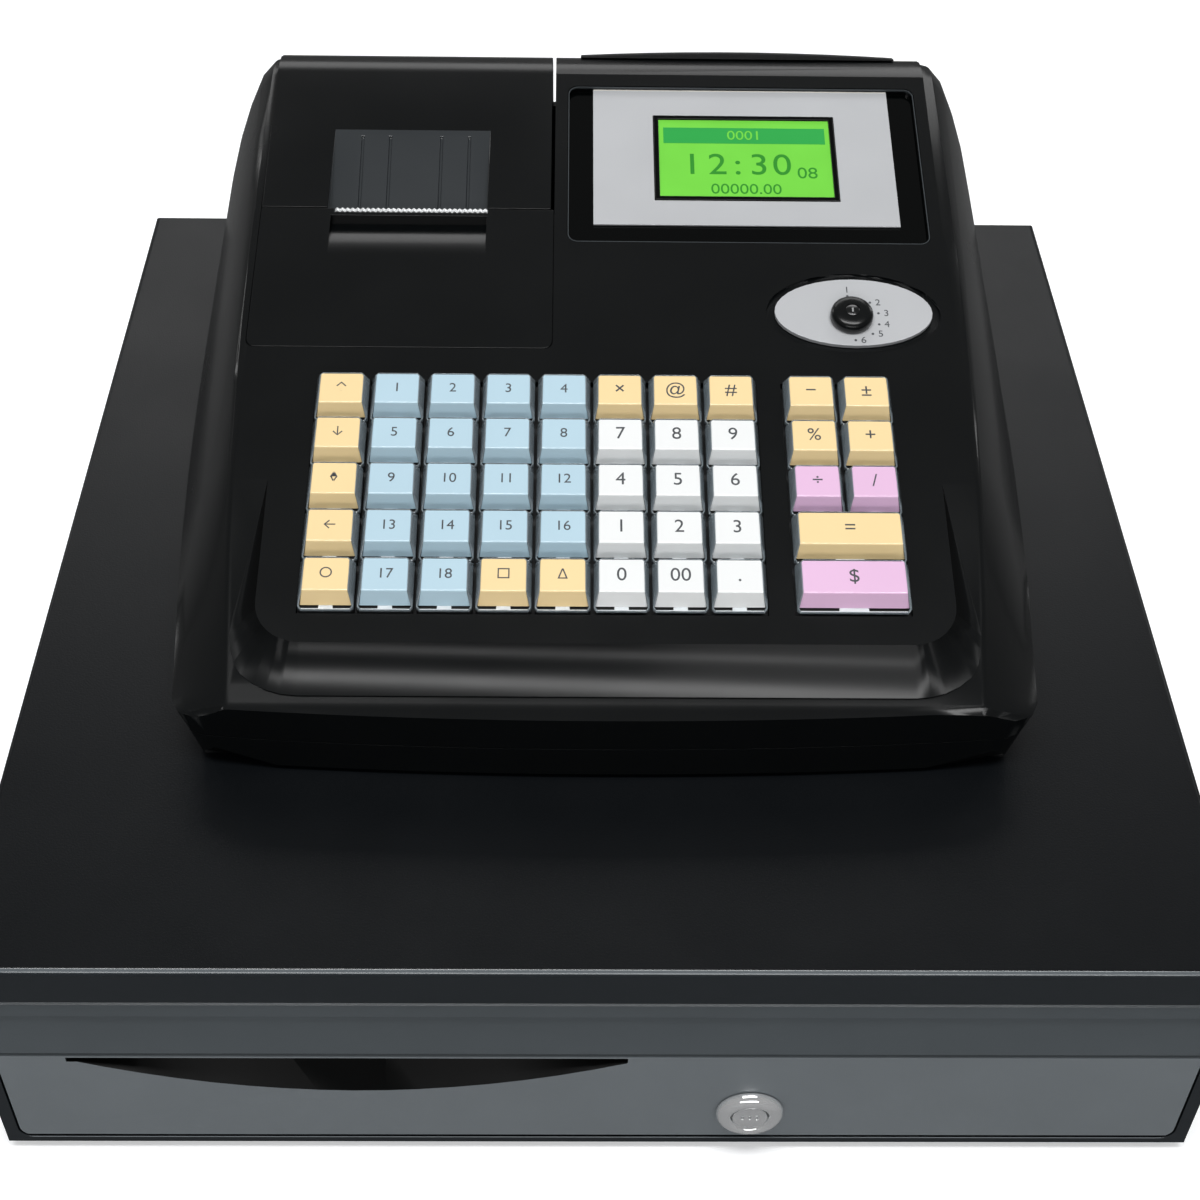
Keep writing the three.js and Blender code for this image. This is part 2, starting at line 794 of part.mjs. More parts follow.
// The scoop under the slot: a smile on the face that narrows to the slot behind it
function scoopCutter() {
  const left = slotLeft + gap;
  const right = slotRight - gap;
  const startZ = middle(ticketSlot.low, ticketSlot.high);
  const topZ = middle(startZ, ticketSlot.high);
  const ring = (y, dip) => {
    const points = [];
    for (let step = 0; step <= sides.small; step += 1) {
      const share = step / sides.small;
      const off = share + share - 1;
      const arc = 1 - off * off;
      points.push(new THREE.Vector3(mix(left, right, share), y, startZ - scoop.endRise * share - dip * arc));
    }
    points.push(new THREE.Vector3(right, y, topZ));
    points.push(new THREE.Vector3(left, y, topZ));
    return points.reverse();
  };
  const dip = startZ - scoop.low;
  return solidOf(loft([ring(-overrun, dip), ring(0, dip), ring(scoop.depth, scoop.throat)], fromRear));
}

function drawerFront() {
  const block = prismX(frontProfile(), [-frontHalf, frontHalf]);
  const outline = roundedBox([-frontHalf, frontHalf], [frontBottom, front.topZ], { lower: front.radius });
  const body = block.intersect(prismY(outline, [-overrun, front.depth + overrun]));
  const wall = front.skin;
  const backwards = [wall + front.leanSetBack, front.depth + overrun];
  const pocketX = (from, to) => [from + wall, to - wall];
  const slotCentre = middle(slotLeft, slotRight);
  const slotBlock = [slotLeft - ticketSlot.housing, slotRight + ticketSlot.housing];
  const lockBlock = around(lock.x, lock.bodyRadius + lock.bodyRadius + ticketSlot.housing);
  const upper = [ticketSlot.high + ticketSlot.housing, front.topZ - wall];
  const lower = [frontBottom + wall, scoop.low - ticketSlot.housing];
  const whole = [frontBottom + ticketSlot.housing, upper[0] - wall];
  const pockets = [
    box(pocketX(-frontHalf, 0), backwards, upper),
    box(pocketX(0, frontHalf), backwards, upper),
    box(pocketX(slotBlock[0], slotCentre), backwards, lower),
    box(pocketX(slotCentre, slotBlock[1]), backwards, lower),
    box(pocketX(-frontHalf, slotBlock[0]), backwards, whole),
    box(pocketX(lockBlock[1], frontHalf), backwards, whole),
  ];
  const slotHeight = [ticketSlot.low, ticketSlot.high];
  const slot = box([slotLeft, slotRight], [-overrun, front.depth + overrun], slotHeight);
  const lockHole = prismY(circle(lock.x, lock.z, lock.bodyRadius + gap), [-overrun, front.depth + overrun]);
  return cutFrom(body, [...pockets, slot, scoopCutter(), lockHole]);
}

// Key lock: domed ring and body, then the barrel with its key slots and cam

function lockBody() {
  const { bezelRadius, bezelProud, bezelFlat, bodyRadius, bodyEnd, barrelRadius, faceRadius } = lock;
  const profile = [
    [0, 0],
    [bodyRadius, 0],
    [bodyRadius, bodyEnd + gap],
    [bezelRadius, bodyEnd + gap],
    [bezelRadius, bodyEnd + bezelFlat],
    [middle(bezelRadius, bodyRadius), bodyEnd + middle(bezelFlat, bezelProud) + gap],
    [bodyRadius, bodyEnd + bezelProud],
    [0, bodyEnd + bezelProud],
  ];
  const body = solidOf(turned(profile).rotateX(Math.PI).translate(lock.x, bodyEnd, lock.z));
  const bore = prismY(circle(lock.x, lock.z, barrelRadius + gap), [-lock.shoulder, bodyEnd + overrun]);
  const mouth = prismY(circle(lock.x, lock.z, faceRadius + gap), [-bezelProud - overrun, bodyEnd]);
  return cutFrom(body, [bore, mouth]);
}

function lockBarrel() {
  const { barrelRadius, barrelProud, faceRadius, bodyEnd, camLength, camWidth, camThick } = lock;
  const face = prismY(circle(0, 0, faceRadius), [-barrelProud, 0]);
  const barrel = prismY(circle(0, 0, barrelRadius), [gap - lock.shoulder, bodyEnd + gap]);
  const cam = box([-half(camWidth), half(camWidth)], [bodyEnd + gap, bodyEnd + gap + camThick], [-camLength, half(camWidth)]);
  const slots = [-lock.slotPitch, 0, lock.slotPitch].map((x) => (
    box(around(x, lock.slotWidth), [-barrelProud - overrun, lock.slotDepth - barrelProud], around(0, lock.slotHeight))
  ));
  return cutFrom(joined([face, barrel, cam]), slots);
}

// Till insert: coin cups in front, note bays behind, standing on its side skirts

const tillHalf = panInner - till.sideGap;
const tillRear = pan.rear - pan.sheet - till.sideGap;
const bayPitch = (tillHalf + tillHalf - till.wall) / till.bays;
const bayX = (index) => [
  -tillHalf + till.wall + index * bayPitch,
  -tillHalf + (index + 1) * bayPitch,
];
const cupY = (row) => [
  till.front + till.wall + row * (till.cupDepth + till.wall),
  till.front + till.wall + row * (till.cupDepth + till.wall) + till.cupDepth,
];
const notesFront = till.front + till.wall + till.cupRows * (till.cupDepth + till.wall);
const rodY = tillRear - clipRod.fromRear;

function tillInsert() {
  const block = box([-tillHalf, tillHalf], [till.front, tillRear], [till.baseZ, till.topZ]);
  const floorZ = till.baseZ + till.floor;
  const cups = [];
  for (let index = 0; index < till.bays; index += 1) {
    for (let row = 0; row < till.cupRows; row += 1) {
      const y = cupY(row);
      const tub = roundedBox(y, [floorZ, till.topZ + overrun], { lower: till.cupRadius });
      cups.push(prismX(tub, bayX(index), sides.corner));
    }
    cups.push(box(bayX(index), [notesFront, tillRear - till.wall], [floorZ, till.topZ + overrun]));
  }
  const skirtZ = [pan.floorZ + pan.sheet + gap, till.baseZ + till.floor];
  const skirts = [-1, 1].map((side) => {
    const edges = [tillHalf - till.skirt, tillHalf].map((x) => side * x).sort((a, b) => a - b);
    return box(edges, [till.front, tillRear], skirtZ);
  });
  const rodHole = prismX(circle(rodY, clipRod.z, clipRod.radius + gap), [-tillHalf - overrun, tillHalf + overrun]);
  return cutFrom(joined([block, ...skirts]), [...cups, rodHole]);
}

function clipRodPiece() {
  return prismX(circle(rodY, clipRod.z, clipRod.radius, sides.small), [-tillHalf + gap, tillHalf - gap]);
}

// A note clip about its rod: hub, sloping arm and a toe that lies along the note
function noteClip() {
  const { hub, width, reach, thick, toeLength, floorGap } = clip;
  const drop = clipRod.z - (till.baseZ + till.floor + floorGap);
  const back = Math.sqrt(reach * reach - drop * drop);
  const arm = polygon([
    [0, half(thick)],
    [-back, -drop + thick],
    [-back - toeLength, -drop + thick],
    [-back - toeLength - thick, -drop + thick + thick],
    [-back - toeLength - thick, -drop + thick],
    [-back - toeLength, -drop],
    [-back, -drop],
    [0, -half(thick)],
  ]);
  const x = around(0, width);
  const body = prismX(circle(0, 0, hub, sides.small), x).add(prismX(arm, x));
  return body.subtract(prismX(circle(0, 0, clipRod.radius + gap, sides.small), [x[0] - overrun, x[1] + overrun]));
}

// Latch: solenoid on the cabinet's floor, and the lever that hooks the drawer's catch

function latchSolenoid() {
  const { left, width, depth, height, plungerRadius, plungerRise, coilInset } = solenoid;
  const near = cabinet.depth - solenoid.fromRear;
  const base = baseFloor[1] + gap;
  const far = near + depth;
  const top = base + height;
  const frame = box([left, left + width], [near, far], [base, top]);
  const waistX = [left + coilInset, left + width - coilInset];
  const waistZ = [base + coilInset, top - coilInset];
  const waists = [
    box(waistX, [near - overrun, near + coilInset], waistZ),
    box(waistX, [far - coilInset, far + overrun], waistZ),
  ];
  const plungerX = left + half(width);
  const plunger = prismZ(circle(plungerX, near + half(depth), plungerRadius, sides.small), [top - overrun, top + plungerRise]);
  const bracket = box([left, left + cabinet.sheet], around(latchY, latch.hub + latch.hub), [base, top + latch.bracketRise]);
  const pin = prismX(circle(latchY, latch.z, latch.pinRadius, sides.small), [leverX - latch.thick, left + overrun]);
  return joined([cutFrom(frame, waists), plunger, bracket, pin]);
}

// The lever lies over the catch and its nose drops in front of the catch's lip
function latchLever() {
  const { pinRadius, hub, thick, reach, armThick, noseThick } = latch;
  const nose = latch.noseZ - latch.z;
  const arm = polygon([
    [0, half(armThick)],
    [-reach, half(armThick)],
    [-reach, nose],
    [noseThick - reach, nose],
    [noseThick - reach, -half(armThick)],
    [0, -half(armThick)],
  ]);
  const x = around(0, thick);
  const plate = prismX(circle(0, 0, hub, sides.small), x).add(prismX(arm, x));
  return plate.subtract(prismX(circle(0, 0, pinRadius + gap, sides.small), [x[0] - overrun, x[1] + overrun]));
}

// Register: lower case with its feet and the board's posts

function registerBase() {
  const shell = caseLoft(lowerSection, 0).subtract(caseLoft(lowerSection, caseWall));
  const floorZ = [level.baseZ, level.baseZ + caseWall];
  const postX = [board.left + board.postInset, board.right - board.postInset];
  const postY = [board.front + board.postInset, board.back - board.postInset];
  const posts = postX.flatMap((x) => postY.map((y) => (
    prismZ(circle(x, y, board.postRadius, sides.small), [floorZ[0], board.z - gap])
  )));
  const footHalf = outerHalf(caseFoot.frontY) - caseFoot.insetX;
  const feet = [caseAxis - footHalf, caseAxis + footHalf].flatMap((x) => (
    [caseFoot.frontY, caseFoot.rearY].map((y) => (
      prismZ(circle(x, y, caseFoot.radius, sides.small), [cabinet.height + gap, floorZ[1]])
    ))
  ));
  return joined([shell, ...posts, ...feet]);
}

// Register: upper case

function housingRegion(inset, lowZ) {
  const start = deckPoint(display.startV, -inset);
  return polygon([start, ...hoodArc(inset), [plan.backY - inset, lowZ], [start[0], lowZ]]);
}

function padRing(w, spread, frontV, radius) {
  const left = pad.left - spread;
  const right = pad.right + spread;
  const points = [new THREE.Vector3(left, pad.rearV, w)];
  const corner = (centreU, startAngle) => {
    for (let step = 0; step <= sides.corner + sides.corner; step += 1) {
      const angle = startAngle + Math.PI * halfShare * (step / (sides.corner + sides.corner));
      points.push(new THREE.Vector3(centreU + radius * Math.cos(angle), frontV + radius + radius * Math.sin(angle), w));
    }
  };
  corner(left + radius, Math.PI);
  corner(right - radius, -Math.PI * halfShare);
  points.push(new THREE.Vector3(right, pad.rearV, w));
  return points;
}

function keyPad() {
  const foot = padRing(-pad.drop, pad.bandSide, pad.frontV - pad.bandFront, pad.bandRadius);
  const rim = padRing(0, 0, pad.frontV, pad.radius);
  const fromAbove = (point) => new THREE.Vector2(point.x, point.y);
  return solidOf(loft([foot, rim], fromAbove).applyMatrix4(deckFrame));
}

const blockHeight = (key.rows - 1) * key.pitchV + key.size;
const blockV = [key.firstV, key.firstV + blockHeight];
const leftBlockU = [key.firstU, key.firstU + (key.leftColumns - 1) * key.pitchU + key.size];
const rightBlockU = [key.rightU, key.rightU + (key.rightColumns - 1) * key.pitchU + key.size];
const grown = ([low, high], by) => [low - by, high + by];
const plateW = [-pad.thick - gap - keyPlate.thick, -pad.thick - gap];
const recessFloorW = -printerCover.thick - gap;
const windowFloorW = display.windowTop - display.windowThick - gap;
const moduleU = [display.screenLeft - display.moduleLap, display.screenRight + display.moduleLap];
const moduleV = [display.screenFrontV - display.moduleLap, display.screenRearV + display.moduleLap];

// Pocket for a rear socket: its housing, and the opening that is cut into it
function socket({ x, z, width, height, depth, wall }) {
  const inner = plan.backY - depth;
  const housing = box(around(x, width + wall + wall), [inner - wall, plan.backY], around(z, height + wall + wall));
  const opening = box(around(x, width), [inner, plan.backY + overrun], around(z, height));
  return { housing, opening };
}

function inletPins() {
  const reach = [plan.backY - inlet.depth - overrun, plan.backY - inlet.wall];
  const pins = [-inlet.pinSpread, 0, inlet.pinSpread].map((step) => (
    box(around(inlet.x + step, inlet.pinWidth), reach, around(inlet.z, inlet.pinHeight))
  ));
  return joined(pins);
}

function registerTop() {
  const { backY } = plan;
  const wallX = [display.left, display.left + caseWall];
  const outerHousing = prismX(housingRegion(0, bay.wallFloorZ), [display.left, display.right]);
  const innerHousing = prismX(
    housingRegion(caseWall, bay.wallFloorZ - overrun),
    [wallX[1], display.right - caseWall],
  );
  const loftOutside = caseLoft(upperSection, 0);
  const outside = joined([loftOutside, outerHousing, keyPad()]);
  const underPad = deckBox(
    grown([leftBlockU[0], rightBlockU[1]], keyPlate.lap + keyPlate.lap),
    grown(blockV, keyPlate.lap + keyPlate.lap),
    [-pad.underRoom, -pad.thick],
  );
  const inside = joined([caseLoft(upperSection, caseWall), innerHousing, underPad]);
  const tallZ = [bay.wallFloorZ, deckZ(backY)];
  const leftWall = box([bay.left - caseWall, bay.left], [seamY - caseWall, backY], tallZ).intersect(loftOutside);
  const rightWall = box(wallX, [seamY - caseWall, backY], tallZ).intersect(outerHousing);
  const coverLedge = deckBox(
    [bay.left - caseWall, wallX[1]],
    [bay.frontV - printerCover.ledgeThick, bay.seamV],
    [recessFloorW - printerCover.ledgeThick, -overrun],
  );
  const windowLedge = deckBox(
    [display.windowLeft - display.ledge, display.right - overrun],
    [display.windowFrontV - display.ledge, display.windowRearV + display.ledge],
    [windowFloorW - display.ledgeThick, -overrun],
  );
  const inletPocket = socket(inlet);
  const portPocket = socket(port);
  const additions = [
    leftWall,
    rightWall,
    coverLedge,
    windowLedge,
    inletPocket.housing,
    portPocket.housing,
  ];
  const shell = joined([outside.subtract(inside), ...additions]);
  return cutFrom(shell, [...topOpenings(), inletPocket.opening, portPocket.opening]).add(inletPins());
}

// Openings of the upper case: key windows, printer bay, display, mode switch and hinge
function topOpenings() {
  const { backY } = plan;
  const through = [-pad.underRoom, overrun];
  const keyWindows = [leftBlockU, rightBlockU].map((u) => (
    deckBox(grown(u, keyPlate.windowGap), grown(blockV, keyPlate.windowGap), through)
  ));
  const bayTop = deckPoint(bay.seamV, pad.underRoom);
  const bayFront = deckPoint(bay.seamV, -rollCover.toeDepth);
  const bayRegion = polygon([
    bayTop,
    bayFront,
    [bayFront[0], bay.sillZ],
    [backY + pad.underRoom, bay.sillZ],
    [backY + pad.underRoom, bayTop[1]],
  ]);
  const coverRecess = deckPrism(
    roundedBox([bay.left, bay.right], [bay.frontV, bay.seamV + overrun], { lower: printerCover.radius }),
    [recessFloorW, pad.underRoom],
  );
  const coverOpening = deckBox(
    grown([bay.left, bay.right], -printerCover.ledge),
    [bay.frontV + printerCover.ledge, bay.seamV + overrun],
    through,
  );
  const windowRadius = { lower: display.windowRadius, upper: display.windowRadius };
  const windowRecess = deckPrism(
    roundedBox(
      grown([display.windowLeft, display.windowRight], gap),
      grown([display.windowFrontV, display.windowRearV], gap),
      windowRadius,
    ),
    [windowFloorW, pad.underRoom],
  );
  const moduleOpening = deckBox(grown(moduleU, gap), grown(moduleV, gap), through);
  const modeGroove = deckPrism(ellipse(mode.u, mode.v, mode.grooveHalfU, mode.grooveHalfV), [-mode.grooveDepth, overrun]);
  const modeHole = deckPrism(circle(mode.knobU, mode.knobV, mode.shaftRadius + gap), through);
  const rodSpan = [hingeSpan[0] - overrun, hingeSpan[1] + overrun];
  const rodHole = prismX(circle(hingeRod.y, hingeRod.z, hingeRod.radius + gap, sides.small), rodSpan);
  return [
    ...keyWindows,
    prismX(bayRegion, [bay.left, bay.right]),
    coverRecess,
    coverOpening,
    windowRecess,
    moduleOpening,
    modeGroove,
    modeHole,
    rodHole,
  ];
}

const hingeSpan = [bay.left - caseWall - hingeRod.overhang, display.left + caseWall + hingeRod.overhang];

// Printer bay: roll cover, hinge rod, front cover and tear bar

function deckPrismX(shape, [u0, u1]) {
  return solidOf(extruded(shape, u1 - u0).applyMatrix4(alongX).translate(u0, 0, 0).applyMatrix4(deckFrame));
}

function rollCoverPiece() {
  const { wall, sideDepth, toeDepth, bottomZ, heelY, heelV, recessEndV, recessDepth } = rollCover;
  const startV = bay.seamV + gap;
  const x = [bay.left + gap, display.left - rollCover.slot];
  const backY = plan.backY;
  const region = polygon([
    deckPoint(startV, 0),
    ...hoodArc(0),
    [backY, bottomZ],
    [heelY, bottomZ],
    deckPoint(heelV, -sideDepth),
    deckPoint(startV + toeDepth, -sideDepth),
    deckPoint(startV, -toeDepth),
  ]);
  const insideStart = deckPoint(startV - overrun, -wall);
  const inside = polygon([
    insideStart,
    ...hoodArc(wall),
    [backY - wall, bottomZ - overrun],
    [insideStart[0], bottomZ - overrun],
  ]);
  const shell = prismX(region, x).subtract(prismX(inside, [x[0] + wall, x[1] - wall]));
  const recessU = [rollCover.recessLeft, rollCover.recessRight];
  const recessPan = deckPrismX(
    polygon([[startV, 0], [recessEndV + wall, 0], [recessEndV + wall, -wall], [startV, -recessDepth - wall]]),
    grown(recessU, wall),
  );
  const wedge = (deeper, endV) => {
    const endDepth = (recessDepth * (recessEndV - endV)) / (recessEndV - startV) + deeper;
    const outline = [[startV - overrun, overrun], [startV - overrun, -recessDepth - deeper], [endV, -endDepth]];
    return polygon([...outline, [endV, overrun]]);
  };
  const grooves = Object.values(grooveU).map((u) => (
    deckPrismX(wedge(rollCover.grooveDepth, recessEndV - rollCover.grooveStart), around(u, rollCover.grooveWidth))
  ));
  const mouth = deckBox(
    recessU,
    [startV - overrun, startV + rollCover.recessSetBack],
    [-recessDepth - wall - overrun, overrun],
  );
  const rodHole = prismX(
    circle(hingeRod.y, hingeRod.z, hingeRod.radius + gap, sides.small),
    [x[0] - overrun, x[1] + overrun],
  );
  return cutFrom(shell.add(recessPan), [deckPrismX(wedge(0, recessEndV), recessU), ...grooves, mouth, rodHole]);
}

function rollCoverPin() {
  return prismX(circle(hingeRod.y, hingeRod.z, hingeRod.radius, sides.small), hingeSpan);
}

function printerCoverPiece() {
  const { thick, radius, scoopLeft, scoopRight, scoopFrontV, scoopRearV, scoopDepth, shell } = printerCover;
  const outline = roundedBox(grown([bay.left, bay.right], -gap), grown([bay.frontV, bay.seamV], -gap), { lower: radius });
  const plate = prismZ(outline, [-thick, 0]);
  const dish = (deeper, topW) => {
    const points = [];
    for (let step = 0; step <= sides.corner; step += 1) {
      const share = step / sides.corner;
      points.push([mix(scoopFrontV, scoopRearV, share), -scoopDepth * share * share - deeper]);
    }
    return [...points, [scoopRearV + deeper, -scoopDepth - deeper], [scoopRearV + deeper, topW], [scoopFrontV, topW]];
  };
  const pan = prismX(polygon(dish(shell, -half(thick))), grown([scoopLeft, scoopRight], shell));
  const hollow = prismX(polygon(dish(0, overrun)), [scoopLeft, scoopRight]);
  const barNotch = box(
    grown([tearBar.left, tearBar.right], gap),
    [tearBar.frontV - gap, bay.seamV + overrun],
    [-scoopDepth - shell - overrun, overrun],
  );
  return cutFrom(plate.add(pan), [hollow, barNotch]);
}

function tearBarPiece() {
  const { left, right, frontV, thick, low, high, teeth, tooth } = tearBar;
  const points = [[left, low], [right, low], [right, high - tooth]];
  const pitch = (right - left) / teeth;
  for (let step = 0; step < teeth; step += 1) {
    points.push([right - (step + halfShare) * pitch, high]);
    points.push([right - (step + 1) * pitch, high - tooth]);
  }
  return prismY(polygon(points), [frontV, frontV + thick]);
}

// Printer: frame with its paper bucket, roll, platen and head

const paperX = middle(tearBar.left, tearBar.right);
const plateInner = half(paper.width) + printer.sideGap;
const plateOuter = plateInner + printer.plate;
const printerX = [paperX - plateOuter, paperX + plateOuter];
const printerInsideX = [paperX - plateInner, paperX + plateInner];

function printerFrame() {
  const { frontY, topZ: top, plate, bucketGap, bucketWall, platenY, platenZ, shaftRadius } = printer;
  const bucketRadius = paper.radius + bucketGap;
  const bucketZ = paper.z + bucketGap - gap;
  const backY = paper.y + bucketRadius + bucketWall;
  const footZ = level.baseZ + caseWall + gap;
  const sideOutline = polygon([
    [frontY, footZ],
    [backY, footZ],
    [backY, bucketZ],
    [paper.y - half(paper.radius), bucketZ],
    [platenY + printer.platenRadius + plate, top],
    [frontY, top],
  ]);
  const plates = [
    prismX(sideOutline, [printerX[0], printerInsideX[0]]),
    prismX(sideOutline, [printerInsideX[1], printerX[1]]),
  ];
  const arc = (radius) => {
    const points = [];
    for (let step = 0; step <= sides.small; step += 1) {
      const angle = Math.PI + (Math.PI * step) / sides.small;
      points.push([paper.y + radius * Math.cos(angle), bucketZ + radius * Math.sin(angle)]);
    }
    return points;
  };
  const bucket = prismX(polygon([...arc(bucketRadius + bucketWall), ...arc(bucketRadius).reverse()]), printerX);
  const frontWall = box(printerX, [frontY, frontY + plate], [footZ, top]);
  const shaft = prismX(circle(platenY, platenZ, shaftRadius + gap, sides.small), grown(printerX, overrun));
  return joined([...plates, bucket, frontWall]).subtract(shaft);
}

function paperRoll() {
  const x = around(paperX, paper.width);
  const core = prismX(circle(0, 0, paper.core, sides.small), grown(x, overrun));
  return prismX(circle(0, 0, paper.radius), x).subtract(core);
}

function platenRoller() {
  const { platenRadius, shaftRadius, gearRadius, gearRoot, gearThick, teeth } = printer;
  const rubber = prismX(circle(0, 0, platenRadius), grown(printerInsideX, -gap));
  const gearX = [printerX[1] + gap, printerX[1] + gap + gearThick];
  const shaft = prismX(circle(0, 0, shaftRadius, sides.small), [printerX[0] - gap, gearX[1]]);
  const points = [];
  for (let step = 0; step < teeth + teeth; step += 1) {
    const angle = (Math.PI * step) / teeth;
    const radius = step % flanksPerTooth === 0 ? gearRoot : gearRadius;
    points.push([radius * Math.cos(angle), radius * Math.sin(angle)]);
  }
  return joined([rubber, shaft, prismX(polygon(points), gearX)]);
}

function printHead() {
  const { platenY, platenZ, platenRadius, headThick, headHeight, sinkHeight, frontY, plate } = printer;
  const x = grown(printerInsideX, -gap);
  const near = platenY - platenRadius - gap;
  const head = box(x, [near - headThick, near], around(platenZ, headHeight));
  const sink = box(x, [frontY + plate + gap, near], around(platenZ, sinkHeight));
  return head.add(sink);
}

// Display: window, silver plate, screen module and the cap over the back of the hood

const neckU = [display.screenLeft, display.screenRight];
const neckV = [display.screenFrontV, display.screenRearV];

function displayWindow() {
  const { windowRadius, windowTop, windowThick } = display;
  const outline = roundedBox(
    [display.windowLeft, display.windowRight],
    [display.windowFrontV, display.windowRearV],
    { lower: windowRadius, upper: windowRadius },
  );
  const plate = prismZ(outline, [windowTop - windowThick, windowTop]);
  return plate.subtract(box(grown(neckU, gap), grown(neckV, gap), [windowFloorW, overrun]));
}

function displayPlate() {
  const w = [windowTopSeat, windowTopSeat + display.plateThick];
  const plate = box([display.plateLeft, display.plateRight], [display.plateFrontV, display.windowRearV], w);
  return plate.subtract(box(grown(neckU, gap), grown(neckV, gap), grown(w, overrun)));
}

const windowTopSeat = display.windowTop + gap;

function displayPanel() {
  const { border, borderTop, screenDepth, moduleDepth } = display;
  const module = box(moduleU, moduleV, [windowFloorW - moduleDepth, windowFloorW]);
  const neck = box(neckU, neckV, [windowFloorW - overrun, borderTop]);
  const screen = box(grown(neckU, -border), grown(neckV, -border), [borderTop - screenDepth, overrun]);
  return module.add(neck).subtract(screen);
}

function displayCap() {
  const rings = [];
  for (let station = 0; station <= cap.stations; station += 1) {
    const share = station / cap.stations;
    const off = share + share - 1;
    const rise = gap + mix(cap.rise, cap.endRise, off * off);
    const outer = [...hoodArc(-rise, capStartShare), [plan.backY + rise, cap.lowZ]];
    const inner = [...hoodArc(-gap, capStartShare), [plan.backY + gap, cap.lowZ]];
    const x = mix(cap.left, cap.right, share);
    rings.push([...outer.reverse(), ...inner].map(([y, z]) => new THREE.Vector3(x, y, z)));
  }
  return solidOf(loft(rings, (point) => new THREE.Vector2(point.y, point.z)));
}

// Mode switch: oval plate, and a knob that turns in it

function modePlate() {
  const { halfU, halfV, plateTop, grooveDepth, shaftRadius } = mode;
  const w = [gap - grooveDepth, plateTop];
  const hole = prismZ(circle(mode.knobU - mode.u, mode.knobV - mode.v, shaftRadius + gap), grown(w, overrun));
  return prismZ(ellipse(0, 0, halfU, halfV), w).subtract(hole);
}

function modeSwitch() {
  const { knobRadius, knobHeight, knobEdge, shaftRadius, shaftEnd, slotLength, slotWidth, slotDepth } = mode;
  const profile = [
    [0, -shaftEnd],
    [shaftRadius, -shaftEnd],
    [shaftRadius, 0],
    [knobRadius, 0],
    [knobRadius, knobHeight - knobEdge],
    [knobRadius - knobEdge, knobHeight],
    [0, knobHeight],
  ];
  const knob = solidOf(turned(profile).rotateX(Math.PI * halfShare));
  const slot = box(around(0, slotWidth), around(0, slotLength), [knobHeight - slotDepth, knobHeight + overrun]);
  return knob.subtract(slot);
}

// Keys: one shape for all, as wide as it is told; fixed ones stand on their plate

function keyRing(w, [u0, u1], [v0, v1]) {
  const cut = key.cornerCut;
  const points = [
    [u0 + cut, v0],
    [u1 - cut, v0],
    [u1, v0 + cut],
    [u1, v1 - cut],
    [u1 - cut, v1],
    [u0 + cut, v1],
    [u0, v1 - cut],
    [u0, v0 + cut],
  ];
  return points.map(([u, v]) => new THREE.Vector3(u, v, w));
}

function keyBlank(width, bottomW) {
  const { size, skirtTop, height, topInset, topFront, topRear } = key;
  const rings = [
    keyRing(bottomW, [0, width], [0, size]),
    keyRing(skirtTop, [0, width], [0, size]),
    keyRing(height, [topInset, width - topInset], [topFront, size - topRear]),
  ];
  return solidOf(loft(rings, (point) => new THREE.Vector2(point.x, point.y)));
}

function keyCap(width) {
  const { size, wall, floatW, skirtTop, stem, stemEnd } = key;
  const hollow = box([wall, width - wall], [wall, size - wall], [floatW - overrun, skirtTop]);
  const post = box(around(half(width), stem), around(half(size), stem), [-stemEnd, skirtTop + overrun]);
  return keyBlank(width, floatW).subtract(hollow).add(post);
}

const wideWidth = (key.rightColumns - 1) * key.pitchU + key.size;
const keyU = (firstU, column) => firstU + column * key.pitchU;
const keyV = (row) => key.firstV + (key.rows - row) * key.pitchV;

// Every key that moves: its place, its width, its name and its colour
function movingKeys() {
  const keys = [];
  for (let column = key.fixedColumns; column < key.leftColumns; column += 1) {
    for (let row = 1; row <= key.rows; row += 1) {
      const finish = row === 1 ? "keyYellow" : "keyWhite";
      keys.push({ name: `key_c${column + 1}_r${row}`, u: keyU(key.firstU, column), row, width: key.size, finish });
    }
  }
  const pairRows = key.rows - key.wideRows;
  for (let row = 1; row <= pairRows; row += 1) {
    for (let column = 0; column < key.rightColumns; column += 1) {
      const finish = row === pairRows ? "keyPink" : "keyYellow";
      const name = `key_c${key.leftColumns + column + 1}_r${row}`;
      keys.push({ name, u: keyU(key.rightU, column), row, width: key.size, finish });
    }
  }
  for (let row = pairRows + 1; row <= key.rows; row += 1) {
    const finish = row === key.rows ? "keyPink" : "keyYellow";
    keys.push({ name: `key_wide_r${row}`, u: key.rightU, row, width: wideWidth, finish });
  }
  return keys;
}

// A guide plate under a key window, with a hole for the stem of each moving key above it
function guidePlate(blockU, keys) {
  const plate = box(grown(blockU, keyPlate.lap), grown(blockV, keyPlate.lap), plateW);
  const holeSize = key.stem + gap + gap;
  const holes = keys.map(({ u, row, width }) => (
    box(around(u + half(width), holeSize), around(keyV(row) + half(key.size), holeSize), grown(plateW, overrun))
  ));
  return cutFrom(plate, holes);
}

function keyBankLeft(keys) {
  const fixed = [];
  for (let column = 0; column < key.fixedColumns; column += 1) {
    for (let row = 1; row <= key.rows; row += 1) {
      const blank = keyBlank(key.size, plateW[1] - half(keyPlate.thick));
      fixed.push(blank.translate([keyU(key.firstU, column), keyV(row), 0]));
    }
  }
  return joined([guidePlate(leftBlockU, keys), ...fixed]);
}

// Main board with its parts

